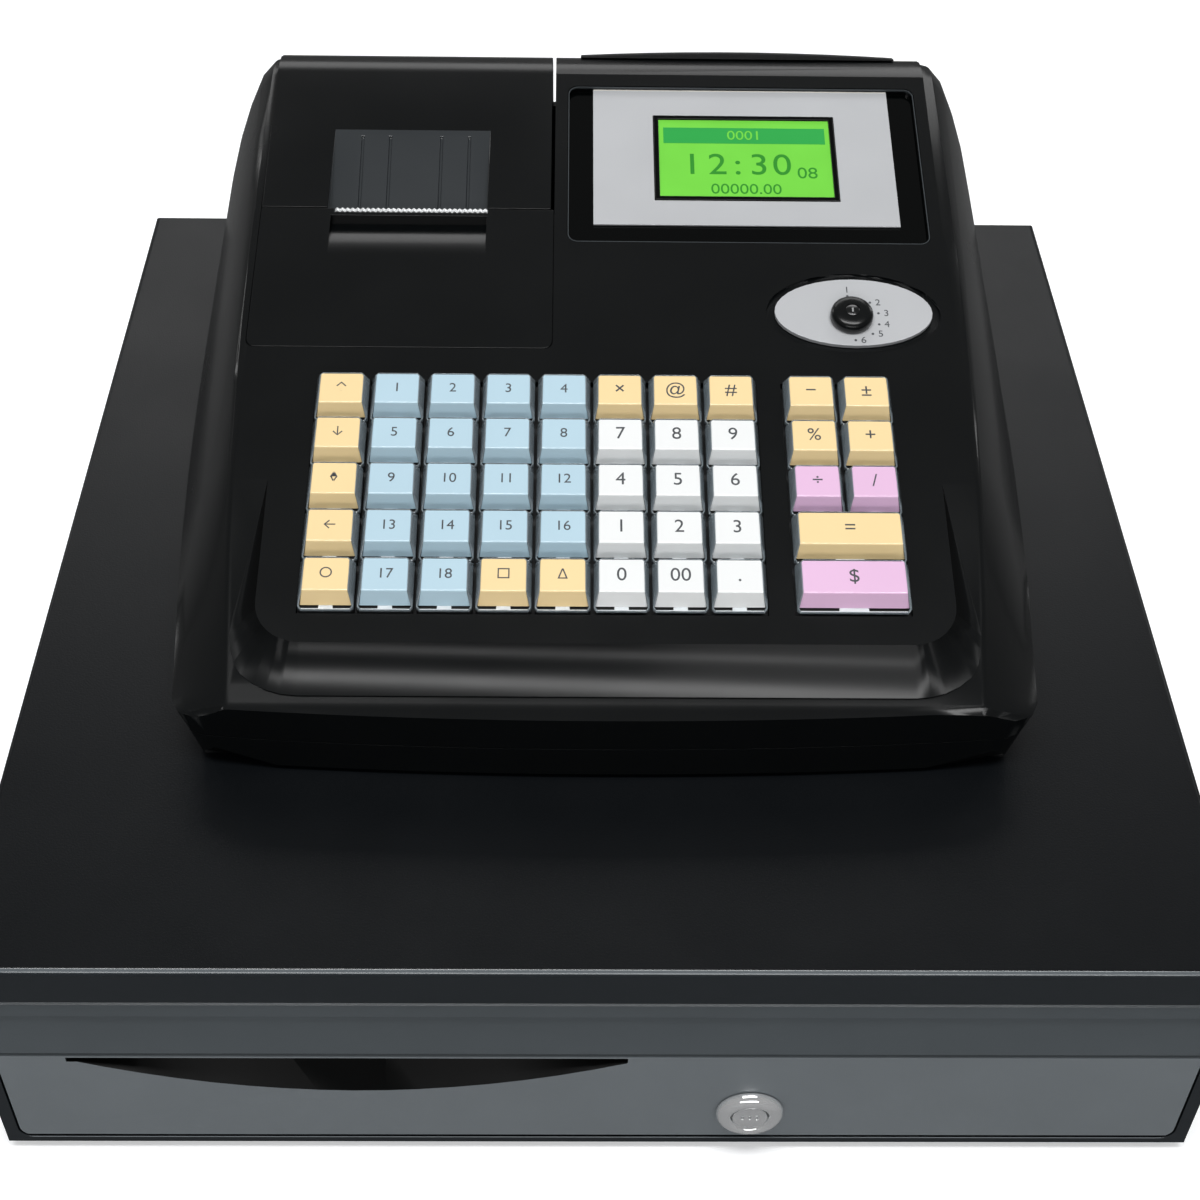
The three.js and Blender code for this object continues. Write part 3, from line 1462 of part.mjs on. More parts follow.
function mainBoard() {
  const { left, right, front: near, back, thick, z } = board;
  const plate = box([left, right], [near, back], [z, z + thick]);
  const parts = [processor, memory, relay, supply].map((chip) => (
    box(around(chip.x, chip.width), around(chip.y, chip.depth), [z, z + thick + chip.height])
  ));
  return joined([plate, ...parts]);
}

// The whole object

const model = new THREE.Group();
model.position.set(0, -half(cabinet.depth - lock.bezelProud), foot.height);

addPiece(model, "drawer_cabinet", drawerCabinet(), "cabinetSteel");
addPiece(model, "cabinet_base", cabinetBase(), "cabinetSteel");
addPiece(model, "drawer_pan", drawerPan(), "zincSteel");
addPiece(model, "drawer_front", drawerFront(), "frontPlastic");
addPiece(model, "till_insert", tillInsert(), "darkPlastic");
addPiece(model, "clip_rod", clipRodPiece(), "brightSteel");
addPiece(model, "lock_body", lockBody(), "chrome");
addPiece(model, "lock_barrel", lockBarrel(), "chrome").position.set(lock.x, 0, lock.z);
addPiece(model, "latch_solenoid", latchSolenoid(), "zincSteel");
addPiece(model, "latch_lever", latchLever(), "zincSteel").position.set(leverX, latchY, latch.z);

for (const [place, y, z] of [["cabinet", roller.fromFront, cabinetRollerZ], ["drawer", panRollerY, panRollerZ]]) {
  for (const [hand, side] of [["left", -1], ["right", 1]]) {
    const ring = rollerRing(side);
    addPiece(model, `${place}_roller_${hand}`, ring, "nylon").position.set(0, y, z);
  }
}

for (let index = 0; index < till.bays; index += 1) {
  const [low, high] = bayX(index);
  const mesh = addPiece(model, `note_clip_${index + 1}`, noteClip(), "darkPlastic");
  mesh.position.set(middle(low, high), rodY, clipRod.z);
}

addPiece(model, "register_base", registerBase(), "casePlastic");
addPiece(model, "register_top", registerTop(), "casePlastic");
addPiece(model, "roll_cover", rollCoverPiece(), "casePlastic");
addPiece(model, "roll_cover_pin", rollCoverPin(), "zincSteel");
addPiece(model, "printer_frame", printerFrame(), "darkPlastic");
addPiece(model, "paper_roll", paperRoll(), "paperWhite").position.set(0, paper.y, paper.z);
addPiece(model, "platen_roller", platenRoller(), "rubber").position.set(0, printer.platenY, printer.platenZ);
addPiece(model, "print_head", printHead(), "zincSteel");
addPiece(model, "display_cap", displayCap(), "casePlastic");
addPiece(model, "main_board", mainBoard(), "boardGreen");

// Everything that lies in the plane of the keys and of the display
const deckGroup = new THREE.Group();
deckGroup.position.set(0, deck.anchorY, deck.anchorZ);
deckGroup.rotation.x = tilt;
model.add(deckGroup);

addPiece(deckGroup, "printer_cover", printerCoverPiece(), "casePlastic");
addPiece(deckGroup, "tear_bar", tearBarPiece(), "brightSteel");
addPiece(deckGroup, "display_window", displayWindow(), "glossBlack");
addPiece(deckGroup, "display_plate", displayPlate(), "silverPlate");
addPiece(deckGroup, "display_panel", displayPanel(), "screenGreen");
addPiece(deckGroup, "mode_plate", modePlate(), "silverPlate").position.set(mode.u, mode.v, 0);
addPiece(deckGroup, "mode_switch", modeSwitch(), "glossBlack").position.set(mode.knobU, mode.knobV, mode.plateTop + gap);

const keys = movingKeys();
const underWindow = (block) => keys.filter(({ u }) => u >= block[0] && u < block[1]);
addPiece(deckGroup, "key_bank_left", keyBankLeft(underWindow(leftBlockU)), "keyBlue");
addPiece(deckGroup, "key_guide_right", guidePlate(rightBlockU, underWindow(rightBlockU)), "darkPlastic");

for (const { name, u, row, width, finish } of keys) {
  addPiece(deckGroup, name, keyCap(width), finish).position.set(u, keyV(row), 0);
}

const ticketRegister = new THREE.Group();
ticketRegister.add(model);

export default ticketRegister;
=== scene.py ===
"""Looks of a ticket register standing on its cash drawer.

The solids of the register are the frame. This file dresses them: moulded plastic, painted and
plated steel, clear key caps over coloured inserts, a green display behind its black window, a
chrome lock, and the room, lamps and camera that show them.
"""

import json
import logging
import math
from dataclasses import dataclass, field
from enum import Enum, IntEnum
from typing import Callable, Iterable, Sequence

import bmesh
import bpy
from mathutils import Matrix, Vector

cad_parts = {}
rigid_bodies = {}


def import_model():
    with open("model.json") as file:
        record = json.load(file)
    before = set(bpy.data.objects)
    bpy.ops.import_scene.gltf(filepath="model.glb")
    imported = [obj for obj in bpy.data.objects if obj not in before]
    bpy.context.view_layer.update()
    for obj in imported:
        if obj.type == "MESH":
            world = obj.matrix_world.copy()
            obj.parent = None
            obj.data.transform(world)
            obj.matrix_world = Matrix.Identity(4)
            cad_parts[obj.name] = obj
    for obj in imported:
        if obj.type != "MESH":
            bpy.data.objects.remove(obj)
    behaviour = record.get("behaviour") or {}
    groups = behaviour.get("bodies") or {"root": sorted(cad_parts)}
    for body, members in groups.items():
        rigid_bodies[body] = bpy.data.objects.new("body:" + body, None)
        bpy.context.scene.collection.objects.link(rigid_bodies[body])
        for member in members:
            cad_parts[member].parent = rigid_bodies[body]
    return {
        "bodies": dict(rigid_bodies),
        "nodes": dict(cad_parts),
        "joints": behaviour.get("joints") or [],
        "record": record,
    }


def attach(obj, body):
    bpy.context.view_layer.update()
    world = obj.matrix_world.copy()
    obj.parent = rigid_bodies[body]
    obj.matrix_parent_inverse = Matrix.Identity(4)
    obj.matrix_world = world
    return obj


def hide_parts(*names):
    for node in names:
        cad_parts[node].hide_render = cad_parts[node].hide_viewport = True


log = logging.getLogger("ticket_register")

Point = tuple[float, float]
Triple = tuple[float, float, float]
Colour = tuple[float, float, float]
Shaping = Callable[[bmesh.types.BMesh], None]
Choice = Callable[[bpy.types.MeshPolygon], int]

# The shared frame: its unit, how far in front of its origin the drawer's front face lies, and how high
# the cabinet stands on its feet, both in millimetres.
MILLIMETRE = 0.001
ORIGIN_Y = 209.0
FOOT_HEIGHT = 4.0

# Turns in radians, the size of a matrix that places things, and the way up.
QUARTER_TURN = math.pi / 2
FULL_TURN = math.tau
MATRIX_SIZE = 4
UPWARDS = Vector((0.0, 0.0, 1.0))

# Limits of the mesh work, in millimetres and degrees, and the faces round a full circle.
MERGE = 0.002
FLAT_DEGREES = 0.5
LEVEL_SLACK = 0.05
LEVEL_DEGREES = 1.0
SMOOTH_DEGREES = 35.0
ROUND_SIDES = 96

# The largest value of a written colour channel, and the places of a Mix node's colour sockets.
FULL_CHANNEL = 255
MIX_DARK, MIX_LIGHT, MIX_RESULT = 6, 7, 2


# The shared frame


def mm(value: float) -> float:
    """A length in millimetres, given in metres."""
    return value * MILLIMETRE


def row(x: float, y: float, z: float) -> Vector:
    """A point of the register's own layout, in metres of the shared frame.

    Args:
        x: distance to the right of the middle, in millimetres.
        y: distance behind the drawer's front face, in millimetres.
        z: height above the underside of the cabinet, in millimetres.

    Returns:
        The same point in the shared frame.
    """
    return Vector((mm(x), mm(y - ORIGIN_Y), mm(z + FOOT_HEIGHT)))


def tilted(turn: float) -> Matrix:
    """A turn round the X axis, in radians."""
    return Matrix.Rotation(turn, MATRIX_SIZE, "X")


@dataclass(frozen=True)
class Deck:
    """The sloping plane that carries the keys and the display.

    Attributes:
        degrees: its slope to the level.
        anchor_y: y of the line from which it is measured, in millimetres.
        anchor_z: height of that line, in millimetres.
    """

    degrees: float = 14.0
    anchor_y: float = 118.0
    anchor_z: float = 144.03

    def matrix(self) -> Matrix:
        """From deck metres (across, up the slope, off the plane) to the shared frame."""
        return Matrix.Translation(row(0.0, self.anchor_y, self.anchor_z)) @ tilted(math.radians(self.degrees))


DECK = Deck().matrix()


@dataclass(frozen=True)
class Zone:
    """A box of the deck's own space, and the angle that counts as an edge in it.

    Attributes:
        low: its lowest corner, in millimetres.
        high: its highest corner, in millimetres.
        edge_degrees: edges sharper than this are rounded in it.
    """

    low: Triple
    high: Triple
    edge_degrees: float = 6.0

    def holds(self, point: Vector) -> bool:
        """Whether a point of the shared frame lies in the box."""
        place = DECK.inverted() @ point
        return all(mm(self.low[axis]) < place[axis] < mm(self.high[axis]) for axis in range(len(self.low)))


# Finishes


def linear(code: str) -> Colour:
    """A colour written as six hexadecimal digits, as the linear values that a shader takes.

    Args:
        code: the colour, such as "b9bcc0".

    Returns:
        Red, green and blue, each from nothing to one.
    """
    knee, slope, lift, power = 0.04045, 12.92, 0.055, 2.4
    values = [channel / FULL_CHANNEL for channel in bytes.fromhex(code)]
    red, green, blue = (
        value / slope if value <= knee else ((value + lift) / (1 + lift)) ** power
        for value in values
    )
    return (red, green, blue)


class Grain(Enum):
    """How the fine relief of a surface runs."""

    EVEN = (1.0, 1.0, 1.0)
    BRUSHED_ACROSS = (0.02, 1.0, 1.0)
    WOUND = (0.01, 1.0, 1.0)


@dataclass(frozen=True)
class Finish:
    """A surface: its colour, gloss, slow changes of shade and fine relief.

    Attributes:
        name: what the finish is called.
        colour: six hexadecimal digits.
        rough: roughness of the surface.
        metal: one for bare metal, nothing for the rest.
        shade: how far the colour wanders from its mean.
        shade_span: size of one patch of shade, in millimetres.
        relief: strength of the fine relief.
        grain_span: size of one grain, in millimetres.
        grain: the way in which the grain runs.
        lacquer: weight of a clear lacquer over the colour.
        lacquer_rough: roughness of that lacquer.
        clear: how much light passes through.
        bend: index of refraction.
        glow: strength of the surface's own light.
        scuff: how much the roughness changes from place to place.
    """

    name: str
    colour: str
    rough: float
    metal: float = 0.0
    shade: float = 0.08
    shade_span: float = 35.0
    relief: float = 0.1
    grain_span: float = 0.5
    grain: Grain = Grain.EVEN
    lacquer: float = 0.0
    lacquer_rough: float = 0.05
    clear: float = 0.0
    bend: float = 1.46
    glow: float = 0.0
    scuff: float = 0.12

    def material(self) -> bpy.types.Material:
        """The finish as a node material, made once and then shared."""
        known = bpy.data.materials.get(self.name)
        return known if known else self._build()

    def _build(self) -> bpy.types.Material:
        """Make the node tree: shade into colour, scuffs into roughness, grain into relief.

        Returns:
            The new material.
        """
        material = bpy.data.materials.new(self.name)
        material.use_nodes = True
        tree = material.node_tree
        shader = tree.nodes["Principled BSDF"]
        self._fixed_values(shader)
        place = tree.nodes.new("ShaderNodeTexCoord").outputs["Object"]
        patches = self._noise(tree, place, self.shade_span)
        tree.links.new(self._two_tone(tree, patches), shader.inputs["Base Color"])
        tree.links.new(self._scuffed(tree, patches), shader.inputs["Roughness"])
        stretch = tree.nodes.new("ShaderNodeMapping")
        stretch.inputs["Scale"].default_value = self.grain.value
        tree.links.new(place, stretch.inputs["Vector"])
        relief = tree.nodes.new("ShaderNodeBump")
        relief.inputs["Strength"].default_value = self.relief
        relief.inputs["Distance"].default_value = mm(self.grain_span)
        tree.links.new(self._noise(tree, stretch.outputs["Vector"], self.grain_span), relief.inputs["Height"])
        tree.links.new(relief.outputs["Normal"], shader.inputs["Normal"])
        return material

    def _fixed_values(self, shader: bpy.types.ShaderNode) -> None:
        """Set what is the same all over the surface.

        Args:
            shader: the material's shader.
        """
        shader.inputs["Metallic"].default_value = self.metal
        shader.inputs["IOR"].default_value = self.bend
        shader.inputs["Coat Weight"].default_value = self.lacquer
        shader.inputs["Coat Roughness"].default_value = self.lacquer_rough
        shader.inputs["Transmission Weight"].default_value = self.clear
        shader.inputs["Emission Color"].default_value = (*linear(self.colour), 1.0)
        shader.inputs["Emission Strength"].default_value = self.glow

    def _noise(self, tree: bpy.types.NodeTree, place: bpy.types.NodeSocket,
               span: float) -> bpy.types.NodeSocket:
        """A soft noise whose patches are span millimetres across.

        Args:
            tree: the tree that gets the nodes.
            place: the coordinates that the noise reads.
            span: size of one patch, in millimetres.

        Returns:
            The noise, from nothing to one.
        """
        noise = tree.nodes.new("ShaderNodeTexNoise")
        noise.inputs["Scale"].default_value = 1 / mm(span)
        tree.links.new(place, noise.inputs["Vector"])
        return noise.outputs["Fac"]

    def _two_tone(self, tree: bpy.types.NodeTree, share: bpy.types.NodeSocket) -> bpy.types.NodeSocket:
        """The colour, a little darker where share is low and lighter where it is high.

        Args:
            tree: the tree that gets the nodes.
            share: how light the place is, from nothing to one.

        Returns:
            The colour.
        """
        blend = tree.nodes.new("ShaderNodeMix")
        blend.data_type = "RGBA"
        colour = linear(self.colour)
        dark = (value * (1 - self.shade) for value in colour)
        light = (min(value * (1 + self.shade), 1.0) for value in colour)
        blend.inputs[MIX_DARK].default_value = (*dark, 1.0)
        blend.inputs[MIX_LIGHT].default_value = (*light, 1.0)
        tree.links.new(share, blend.inputs["Factor"])
        return blend.outputs[MIX_RESULT]

    def _scuffed(self, tree: bpy.types.NodeTree, share: bpy.types.NodeSocket) -> bpy.types.NodeSocket:
        """A roughness that runs round its mean as share goes from low to high.

        Args:
            tree: the tree that gets the nodes.
            share: how scuffed the place is, from nothing to one.

        Returns:
            The roughness.
        """
        spread = tree.nodes.new("ShaderNodeMapRange")
        spread.inputs["To Min"].default_value = self.rough * (1 - self.scuff)
        spread.inputs["To Max"].default_value = self.rough * (1 + self.scuff)
        tree.links.new(share, spread.inputs["Value"])
        return spread.outputs["Result"]


CASE = Finish("satin_black_case", "07090a", 0.26, relief=0.04, grain_span=0.4, lacquer=0.14,
              lacquer_rough=0.12, bend=1.34)
PANEL = Finish("gloss_black_panel", "0c0e0f", 0.2, relief=0.03, grain_span=0.5, lacquer=0.4,
               lacquer_rough=0.12)
INNER = Finish("dark_moulding", "1d1f21", 0.55, relief=0.16, grain_span=0.6)
CABINET = Finish("powder_coated_steel", "080b0e", 0.36, relief=0.08, grain_span=0.7, bend=1.31)
FASCIA = Finish("charcoal_fascia", "1f2428", 0.36, relief=0.06, grain_span=0.5, bend=1.36)
# Painted highlight: a lighter, glossier grey laid on the rounded top front fold of the cabinet and on the
# drawer front's top edge, where lamplight would catch.
FOLD = Finish("painted_fold_highlight", "5c6266", 0.24, relief=0.04, lacquer=0.6, lacquer_rough=0.1)
FRONT = Finish("charcoal_front", "4b5155", 0.36, relief=0.06, grain_span=0.5, bend=1.4)
# Painted light: a lighter copy of the charcoal front for the drawer front below the slot, as if it caught
# more light; the cabinet's sill takes it too.
PAINTED_LIT_FRONT = Finish("charcoal_front_painted_lit", "6d7377", 0.36, relief=0.06, grain_span=0.5, bend=1.4)
ZINC = Finish("zinc_plated_steel", "9da2a6", 0.4, metal=0.95, shade=0.16, shade_span=9.0, relief=0.08)
STEEL = Finish("brushed_bright_steel", "eef0f1", 0.3, metal=0.55, relief=0.12, grain_span=0.3,
               grain=Grain.BRUSHED_ACROSS)
CHROME = Finish("polished_chrome", "f7f8f9", 0.07, metal=0.75, shade=0.03, relief=0.01)
NYLON = Finish("white_nylon", "dadad2", 0.5, relief=0.06)
RUBBER = Finish("black_rubber", "191919", 0.85, relief=0.2, grain_span=0.8, scuff=0.06)
SILVER = Finish("silver_sheet", "c9cbce", 0.38, metal=0.3, shade=0.03, relief=0.05, grain_span=0.2,
                grain=Grain.BRUSHED_ACROSS)
WINDOW = Finish("gloss_black_window", "020303", 0.08, shade=0.02, relief=0.0, bend=1.33)
PAPER = Finish("white_paper", "f4f3ee", 0.9, relief=0.2, grain_span=0.15, grain=Grain.WOUND)
BOARD = Finish("green_board", "1d5b35", 0.45, shade=0.2, shade_span=3.0, lacquer=0.4)
CHIP = Finish("black_chip", "17181a", 0.5, relief=0.1, grain_span=0.3)
SOLDER = Finish("tinned_pins", "c9ccce", 0.25, metal=1.0, relief=0.05)
CLEAR = Finish("clear_key_cap", "aab6bd", 0.06, shade=0.12, shade_span=4.0, relief=0.02, lacquer=0.8,
               clear=0.5, scuff=0.3)
CAP_RIM = Finish("clear_cap_rim", "cfd5d8", 0.18, shade=0.05, relief=0.03, lacquer=0.6)
KEY_YELLOW = Finish("yellow_insert", "fbdfa8", 0.32, shade=0.03, relief=0.02, lacquer=0.7)
KEY_BLUE = Finish("blue_insert", "bcd8e6", 0.32, shade=0.03, relief=0.02, lacquer=0.7)
KEY_WHITE = Finish("white_insert", "f3f5f5", 0.32, shade=0.02, relief=0.02, lacquer=0.7)
KEY_PINK = Finish("pink_insert", "ebc2e4", 0.32, shade=0.03, relief=0.02, lacquer=0.7)
INK = Finish("dark_ink", "46494d", 0.5, shade=0.1, relief=0.02)
SCREEN = Finish("lit_green_screen", "70cf40", 0.35, shade=0.07, shade_span=18.0, relief=0.0, glow=0.1)
SCREEN_BAR = Finish("dark_green_bar", "2aa548", 0.3, shade=0.05, relief=0.0, glow=0.05, lacquer=0.2)
SCREEN_INK = Finish("screen_digits", "2f8f2a", 0.25, shade=0.05, relief=0.0, glow=0.05, lacquer=0.3)
# Painted shade: the drawer front's slot and the scoop under it, of the same moulding as the front, are
# painted near black as shade in the hollow.
PAINTED_SCOOP_SHADE = Finish("painted_scoop_shade", "040505", 0.5, relief=0.04, bend=1.25)
# Painted reflection: the roll cover's ribbed recess is painted a lighter grey than the case, for the
# reflection seen in it.
PAINTED_RECESS_REFLECTION = Finish("painted_recess_reflection", "2b2f32", 0.3, relief=0.04, lacquer=0.5, lacquer_rough=0.15)
# Painted highlight: a light grey line laid round the edge of the display window's recess.
RIM_HIGHLIGHT = Finish("painted_rim_highlight", "3a3f42", 0.35, relief=0.03)
# Painted shadow: near-black blocks set in the key caps' slots, where there is only shade.
SHADOW = Finish("painted_slot_shadow", "020202", 0.7, shade=0.02, relief=0.05)
# Painted highlight: a near-white strip along the rear edge of the silver plate.
PLATE_EDGE_HIGHLIGHT = Finish("painted_edge_highlight", "e9e6de", 0.3, metal=0.2, shade=0.04, relief=0.02)
FLOOR = Finish("pale_floor", "f4f5f6", 0.9, shade=0.01, shade_span=900.0, relief=0.0)


# Meshes


def new_piece(name: str, mesh: bpy.types.Mesh, *finishes: Finish) -> bpy.types.Object:
    """Put a finished mesh into the scene under a name, with its finishes in slot order.

    Args:
        name: the piece's name.
        mesh: its mesh, already in its place.
        finishes: one finish for each material slot.

    Returns:
        The new object, at the origin.
    """
    slots = [face.material_index for face in mesh.polygons]
    mesh.materials.clear()
    for finish in finishes:
        mesh.materials.append(finish.material())
    mesh.polygons.foreach_set("material_index", slots)
    piece = bpy.data.objects.new(name, mesh)
    bpy.context.scene.collection.objects.link(piece)
    return piece


def shape_of(mesh: bpy.types.Mesh) -> bmesh.types.BMesh:
    """A copy of a mesh as a shape to work on.

    Args:
        mesh: the mesh.

    Returns:
        The shape, which is freed by what turns it into a mesh.
    """
    shape = bmesh.new()
    shape.from_mesh(mesh)
    return shape


def kept_mesh(shape: bmesh.types.BMesh, name: str) -> bpy.types.Mesh:
    """Turn a worked shape into a mesh with its faces as they are, and free the shape.

    Args:
        shape: the worked shape.
        name: the mesh's name.

    Returns:
        The mesh.
    """
    mesh = bpy.data.meshes.new(name)
    shape.to_mesh(mesh)
    shape.free()
    return mesh


def mesh_of(shape: bmesh.types.BMesh, name: str) -> bpy.types.Mesh:
    """Turn a worked shape into a mesh whose faces point outwards, and free the shape.

    Args:
        shape: the worked shape.
        name: the mesh's name.

    Returns:
        The mesh.
    """
    bmesh.ops.recalc_face_normals(shape, faces=shape.faces)
    return kept_mesh(shape, name)


def evaluated(piece: bpy.types.Object) -> bpy.types.Mesh:
    """The mesh that a piece has once its modifiers have run.

    Args:
        piece: an object in the scene.

    Returns:
        A new mesh.
    """
    bpy.context.view_layer.update()
    graph = bpy.context.evaluated_depsgraph_get()
    return bpy.data.meshes.new_from_object(piece.evaluated_get(graph))


def settle(piece: bpy.types.Object) -> bpy.types.Object:
    """Make a piece's modifiers part of its mesh and drop them.

    Args:
        piece: the piece to work on.

    Returns:
        The same piece.
    """
    mesh = evaluated(piece)
    piece.modifiers.clear()
    piece.data = mesh
    return piece


def weigh_edges(mesh: bpy.types.Mesh, degrees: float, zone: Zone | None) -> None:
    """Mark the edges of a mesh that are to be rounded: the sharp ones, and the fainter ones in a zone.

    Args:
        mesh: the mesh to mark.
        degrees: edges sharper than this are rounded.
        zone: where fainter edges are rounded too.
    """
    shape = shape_of(mesh)
    weight = shape.edges.layers.float.new("bevel_weight_edge")
    for edge in shape.edges:
        fine = zone is not None and all(zone.holds(corner.co) for corner in edge.verts)
        limit = zone.edge_degrees if fine else degrees
        edge[weight] = float(edge.is_manifold and edge.calc_face_angle() > math.radians(limit))
    shape.to_mesh(mesh)
    shape.free()


def part_flats(mesh: bpy.types.Mesh, plane: Matrix) -> None:
    """Mark the rim of the faces that lie in a plane as sharp, so that they shade flat.

    Args:
        mesh: the mesh to mark.
        plane: the plane's own axes, with Z square to it.
    """
    shape = shape_of(mesh)
    square = plane.to_3x3() @ UPWARDS
    local = plane.inverted()
    least = math.cos(math.radians(LEVEL_DEGREES))
    level = {face.index for face in shape.faces if face.normal.dot(square) > least
             and abs((local @ face.calc_center_median()).z) < mm(LEVEL_SLACK)}
    for edge in shape.edges:
        if len({face.index in level for face in edge.link_faces}) > 1:
            edge.smooth = False
    shape.to_mesh(mesh)
    shape.free()


def soften(piece: bpy.types.Object, width: float, degrees: float = SMOOTH_DEGREES, segments: int = 2,
           zone: Zone | None = None, plane: Matrix | None = None) -> bpy.types.Object:
    """Round the edges of a piece and shade its gentle curves as one surface.

    Args:
        piece: the piece to work on.
        width: width of the rounding, in millimetres.
        degrees: edges sharper than this are rounded.
        segments: faces across one rounding.
        zone: where fainter edges are rounded too.
        plane: the axes of a plane whose faces shade flat.

    Returns:
        The same piece, with the rounding in its mesh.
    """
    weigh_edges(piece.data, degrees, zone)
    bevel = piece.modifiers.new("rounding", "BEVEL")
    bevel.width = mm(width)
    bevel.segments = segments
    bevel.limit_method = "WEIGHT"
    bevel.use_clamp_overlap = True
    shade(settle(piece), degrees)
    if plane is not None:
        part_flats(piece.data, plane)
    return even_normals(piece)


def even_normals(piece: bpy.types.Object) -> bpy.types.Object:
    """Let the large faces of a piece set the normals at its edges, so that flat faces look flat.

    Args:
        piece: the piece to work on.

    Returns:
        The same piece.
    """
    weighted = piece.modifiers.new("even normals", "WEIGHTED_NORMAL")
    weighted.keep_sharp = True
    return settle(piece)


def shade(piece: bpy.types.Object, degrees: float = SMOOTH_DEGREES) -> bpy.types.Object:
    """Shade a piece smoothly, but for edges sharper than an angle.

    Args:
        piece: the piece to work on.
        degrees: edges sharper than this stay sharp.

    Returns:
        The same piece.
    """
    mesh = piece.data
    mesh.polygons.foreach_set("use_smooth", [True] * len(mesh.polygons))
    mesh.set_sharp_from_angle(angle=math.radians(degrees))
    return piece


def summed(tree: bpy.types.NodeTree, operation: str,
           *values: bpy.types.NodeSocket | float) -> bpy.types.NodeSocket:
    """A maths node over sockets and plain numbers.

    Args:
        tree: the tree that gets the node.
        operation: what the node does.
        *values: its inputs, in order.

    Returns:
        The node's result.
    """
    node = tree.nodes.new("ShaderNodeMath")
    node.operation = operation
    for entry, value in zip(node.inputs, values):
        if isinstance(value, bpy.types.NodeSocket):
            tree.links.new(value, entry)
        else:
            entry.default_value = value
    return node.outputs["Value"]


def level_ring(shape: bmesh.types.BMesh, outline: Sequence[Point], height: float) -> list[bmesh.types.BMVert]:
    """The corners of an outline as points of a shape, all at one height, in millimetres."""
    return [shape.verts.new((mm(a), mm(b), mm(height))) for a, b in outline]


def rectangle(left: float, right: float, front: float, rear: float) -> list[Point]:
    """The outline of a plain rectangle, from its front left corner round."""
    return [(left, front), (right, front), (right, rear), (left, rear)]


def prism(outline: Sequence[Point], low: float, high: float) -> bmesh.types.BMesh:
    """A closed shape with a flat outline, standing between two heights.

    Args:
        outline: corners of the outline in millimetres, in order.
        low: height of its foot in millimetres.
        high: height of its top in millimetres.

    Returns:
        The shape, in metres.
    """
    shape = bmesh.new()
    lower, upper = (level_ring(shape, outline, height) for height in (low, high))
    shape.faces.new(list(reversed(lower)))
    shape.faces.new(upper)
    wrap_ring(shape, lower, upper)
    return shape


def block(low: Vector, high: Vector) -> bmesh.types.BMesh:
    """A closed block between two corners, both in metres.

    Args:
        low: the lowest corner.
        high: the highest corner.

    Returns:
        The shape, in metres.
    """
    scale = 1 / MILLIMETRE
    outline = rectangle(low.x * scale, high.x * scale, low.y * scale, high.y * scale)
    return prism(outline, low.z * scale, high.z * scale)


def wrap_ring(shape: bmesh.types.BMesh, lower: Sequence[bmesh.types.BMVert],
              upper: Sequence[bmesh.types.BMVert]) -> None:
    """Join two rings of equal count with a band of four-sided faces.

    Args:
        shape: the shape that has both rings.
        lower: the lower ring.
        upper: the upper ring.
    """
    count = len(lower)
    for place in range(count):
        after = (place + 1) % count
        shape.faces.new((lower[place], lower[after], upper[after], upper[place]))


def lofted(rings: Sequence[Sequence[Vector]]) -> bmesh.types.BMesh:
    """A closed skin over rings of equal count, with flat ends.

    Args:
        rings: the rings' points, in metres.

    Returns:
        The closed shape.
    """
    shape = bmesh.new()
    worked = [[shape.verts.new(point) for point in ring] for ring in rings]
    for lower, upper in zip(worked, worked[1:]):
        wrap_ring(shape, lower, upper)
    shape.faces.new(list(reversed(worked[0])))
    shape.faces.new(worked[-1])
    return shape


def join_rings(shape: bmesh.types.BMesh, rings: Sequence[Sequence[bmesh.types.BMVert]]) -> None:
    """Join rings of equal count in their order, and the last of them to the first.

    Args:
        shape: the shape that has the rings.
        rings: the rings, in order.
    """
    for lower, upper in zip(rings, [*rings[1:], rings[0]]):
        wrap_ring(shape, lower, upper)


def turned_ring(shape: bmesh.types.BMesh, radius: float, height: float,
                segments: int) -> list[bmesh.types.BMVert]:
    """A ring of points round the z axis.

    Args:
        shape: the shape that gets the points.
        radius: the ring's radius in millimetres.
        height: its height in millimetres.
        segments: how many points it has.

    Returns:
        The points, in order.
    """
    turns = [FULL_TURN * place / segments for place in range(segments)]
    return [shape.verts.new((mm(radius) * math.cos(turn), mm(radius) * math.sin(turn), mm(height)))
            for turn in turns]


def turned(profile: Sequence[Point], segments: int = ROUND_SIDES) -> bmesh.types.BMesh:
    """A body of revolution round the z axis.

    Args:
        profile: radius and height in millimetres, from one end on the axis to the other.
        segments: faces round the body.

    Returns:
        The closed shape, in metres.
    """
    shape = bmesh.new()
    rings = []
    for radius, height in profile:
        rings.append(turned_ring(shape, radius, height, segments if radius else 1))
    for lower, upper in zip(rings, rings[1:]):
        if len(lower) == len(upper):
            wrap_ring(shape, lower, upper)
            continue
        tip, ring = (lower[0], upper) if len(lower) == 1 else (upper[0], lower)
        for place in range(segments):
            shape.faces.new((ring[place], ring[(place + 1) % segments], tip))
    return shape


def closed_turn(profile: Sequence[Point], segments: int = ROUND_SIDES) -> bmesh.types.BMesh:
    """A ring round the z axis whose section is a closed outline.

    Args:
        profile: radius and height of the section's corners in millimetres.
        segments: faces round the ring.

    Returns:
        The closed shape, in metres.
    """
    shape = bmesh.new()
    join_rings(shape, [turned_ring(shape, radius, height, segments) for radius, height in profile])
    return shape


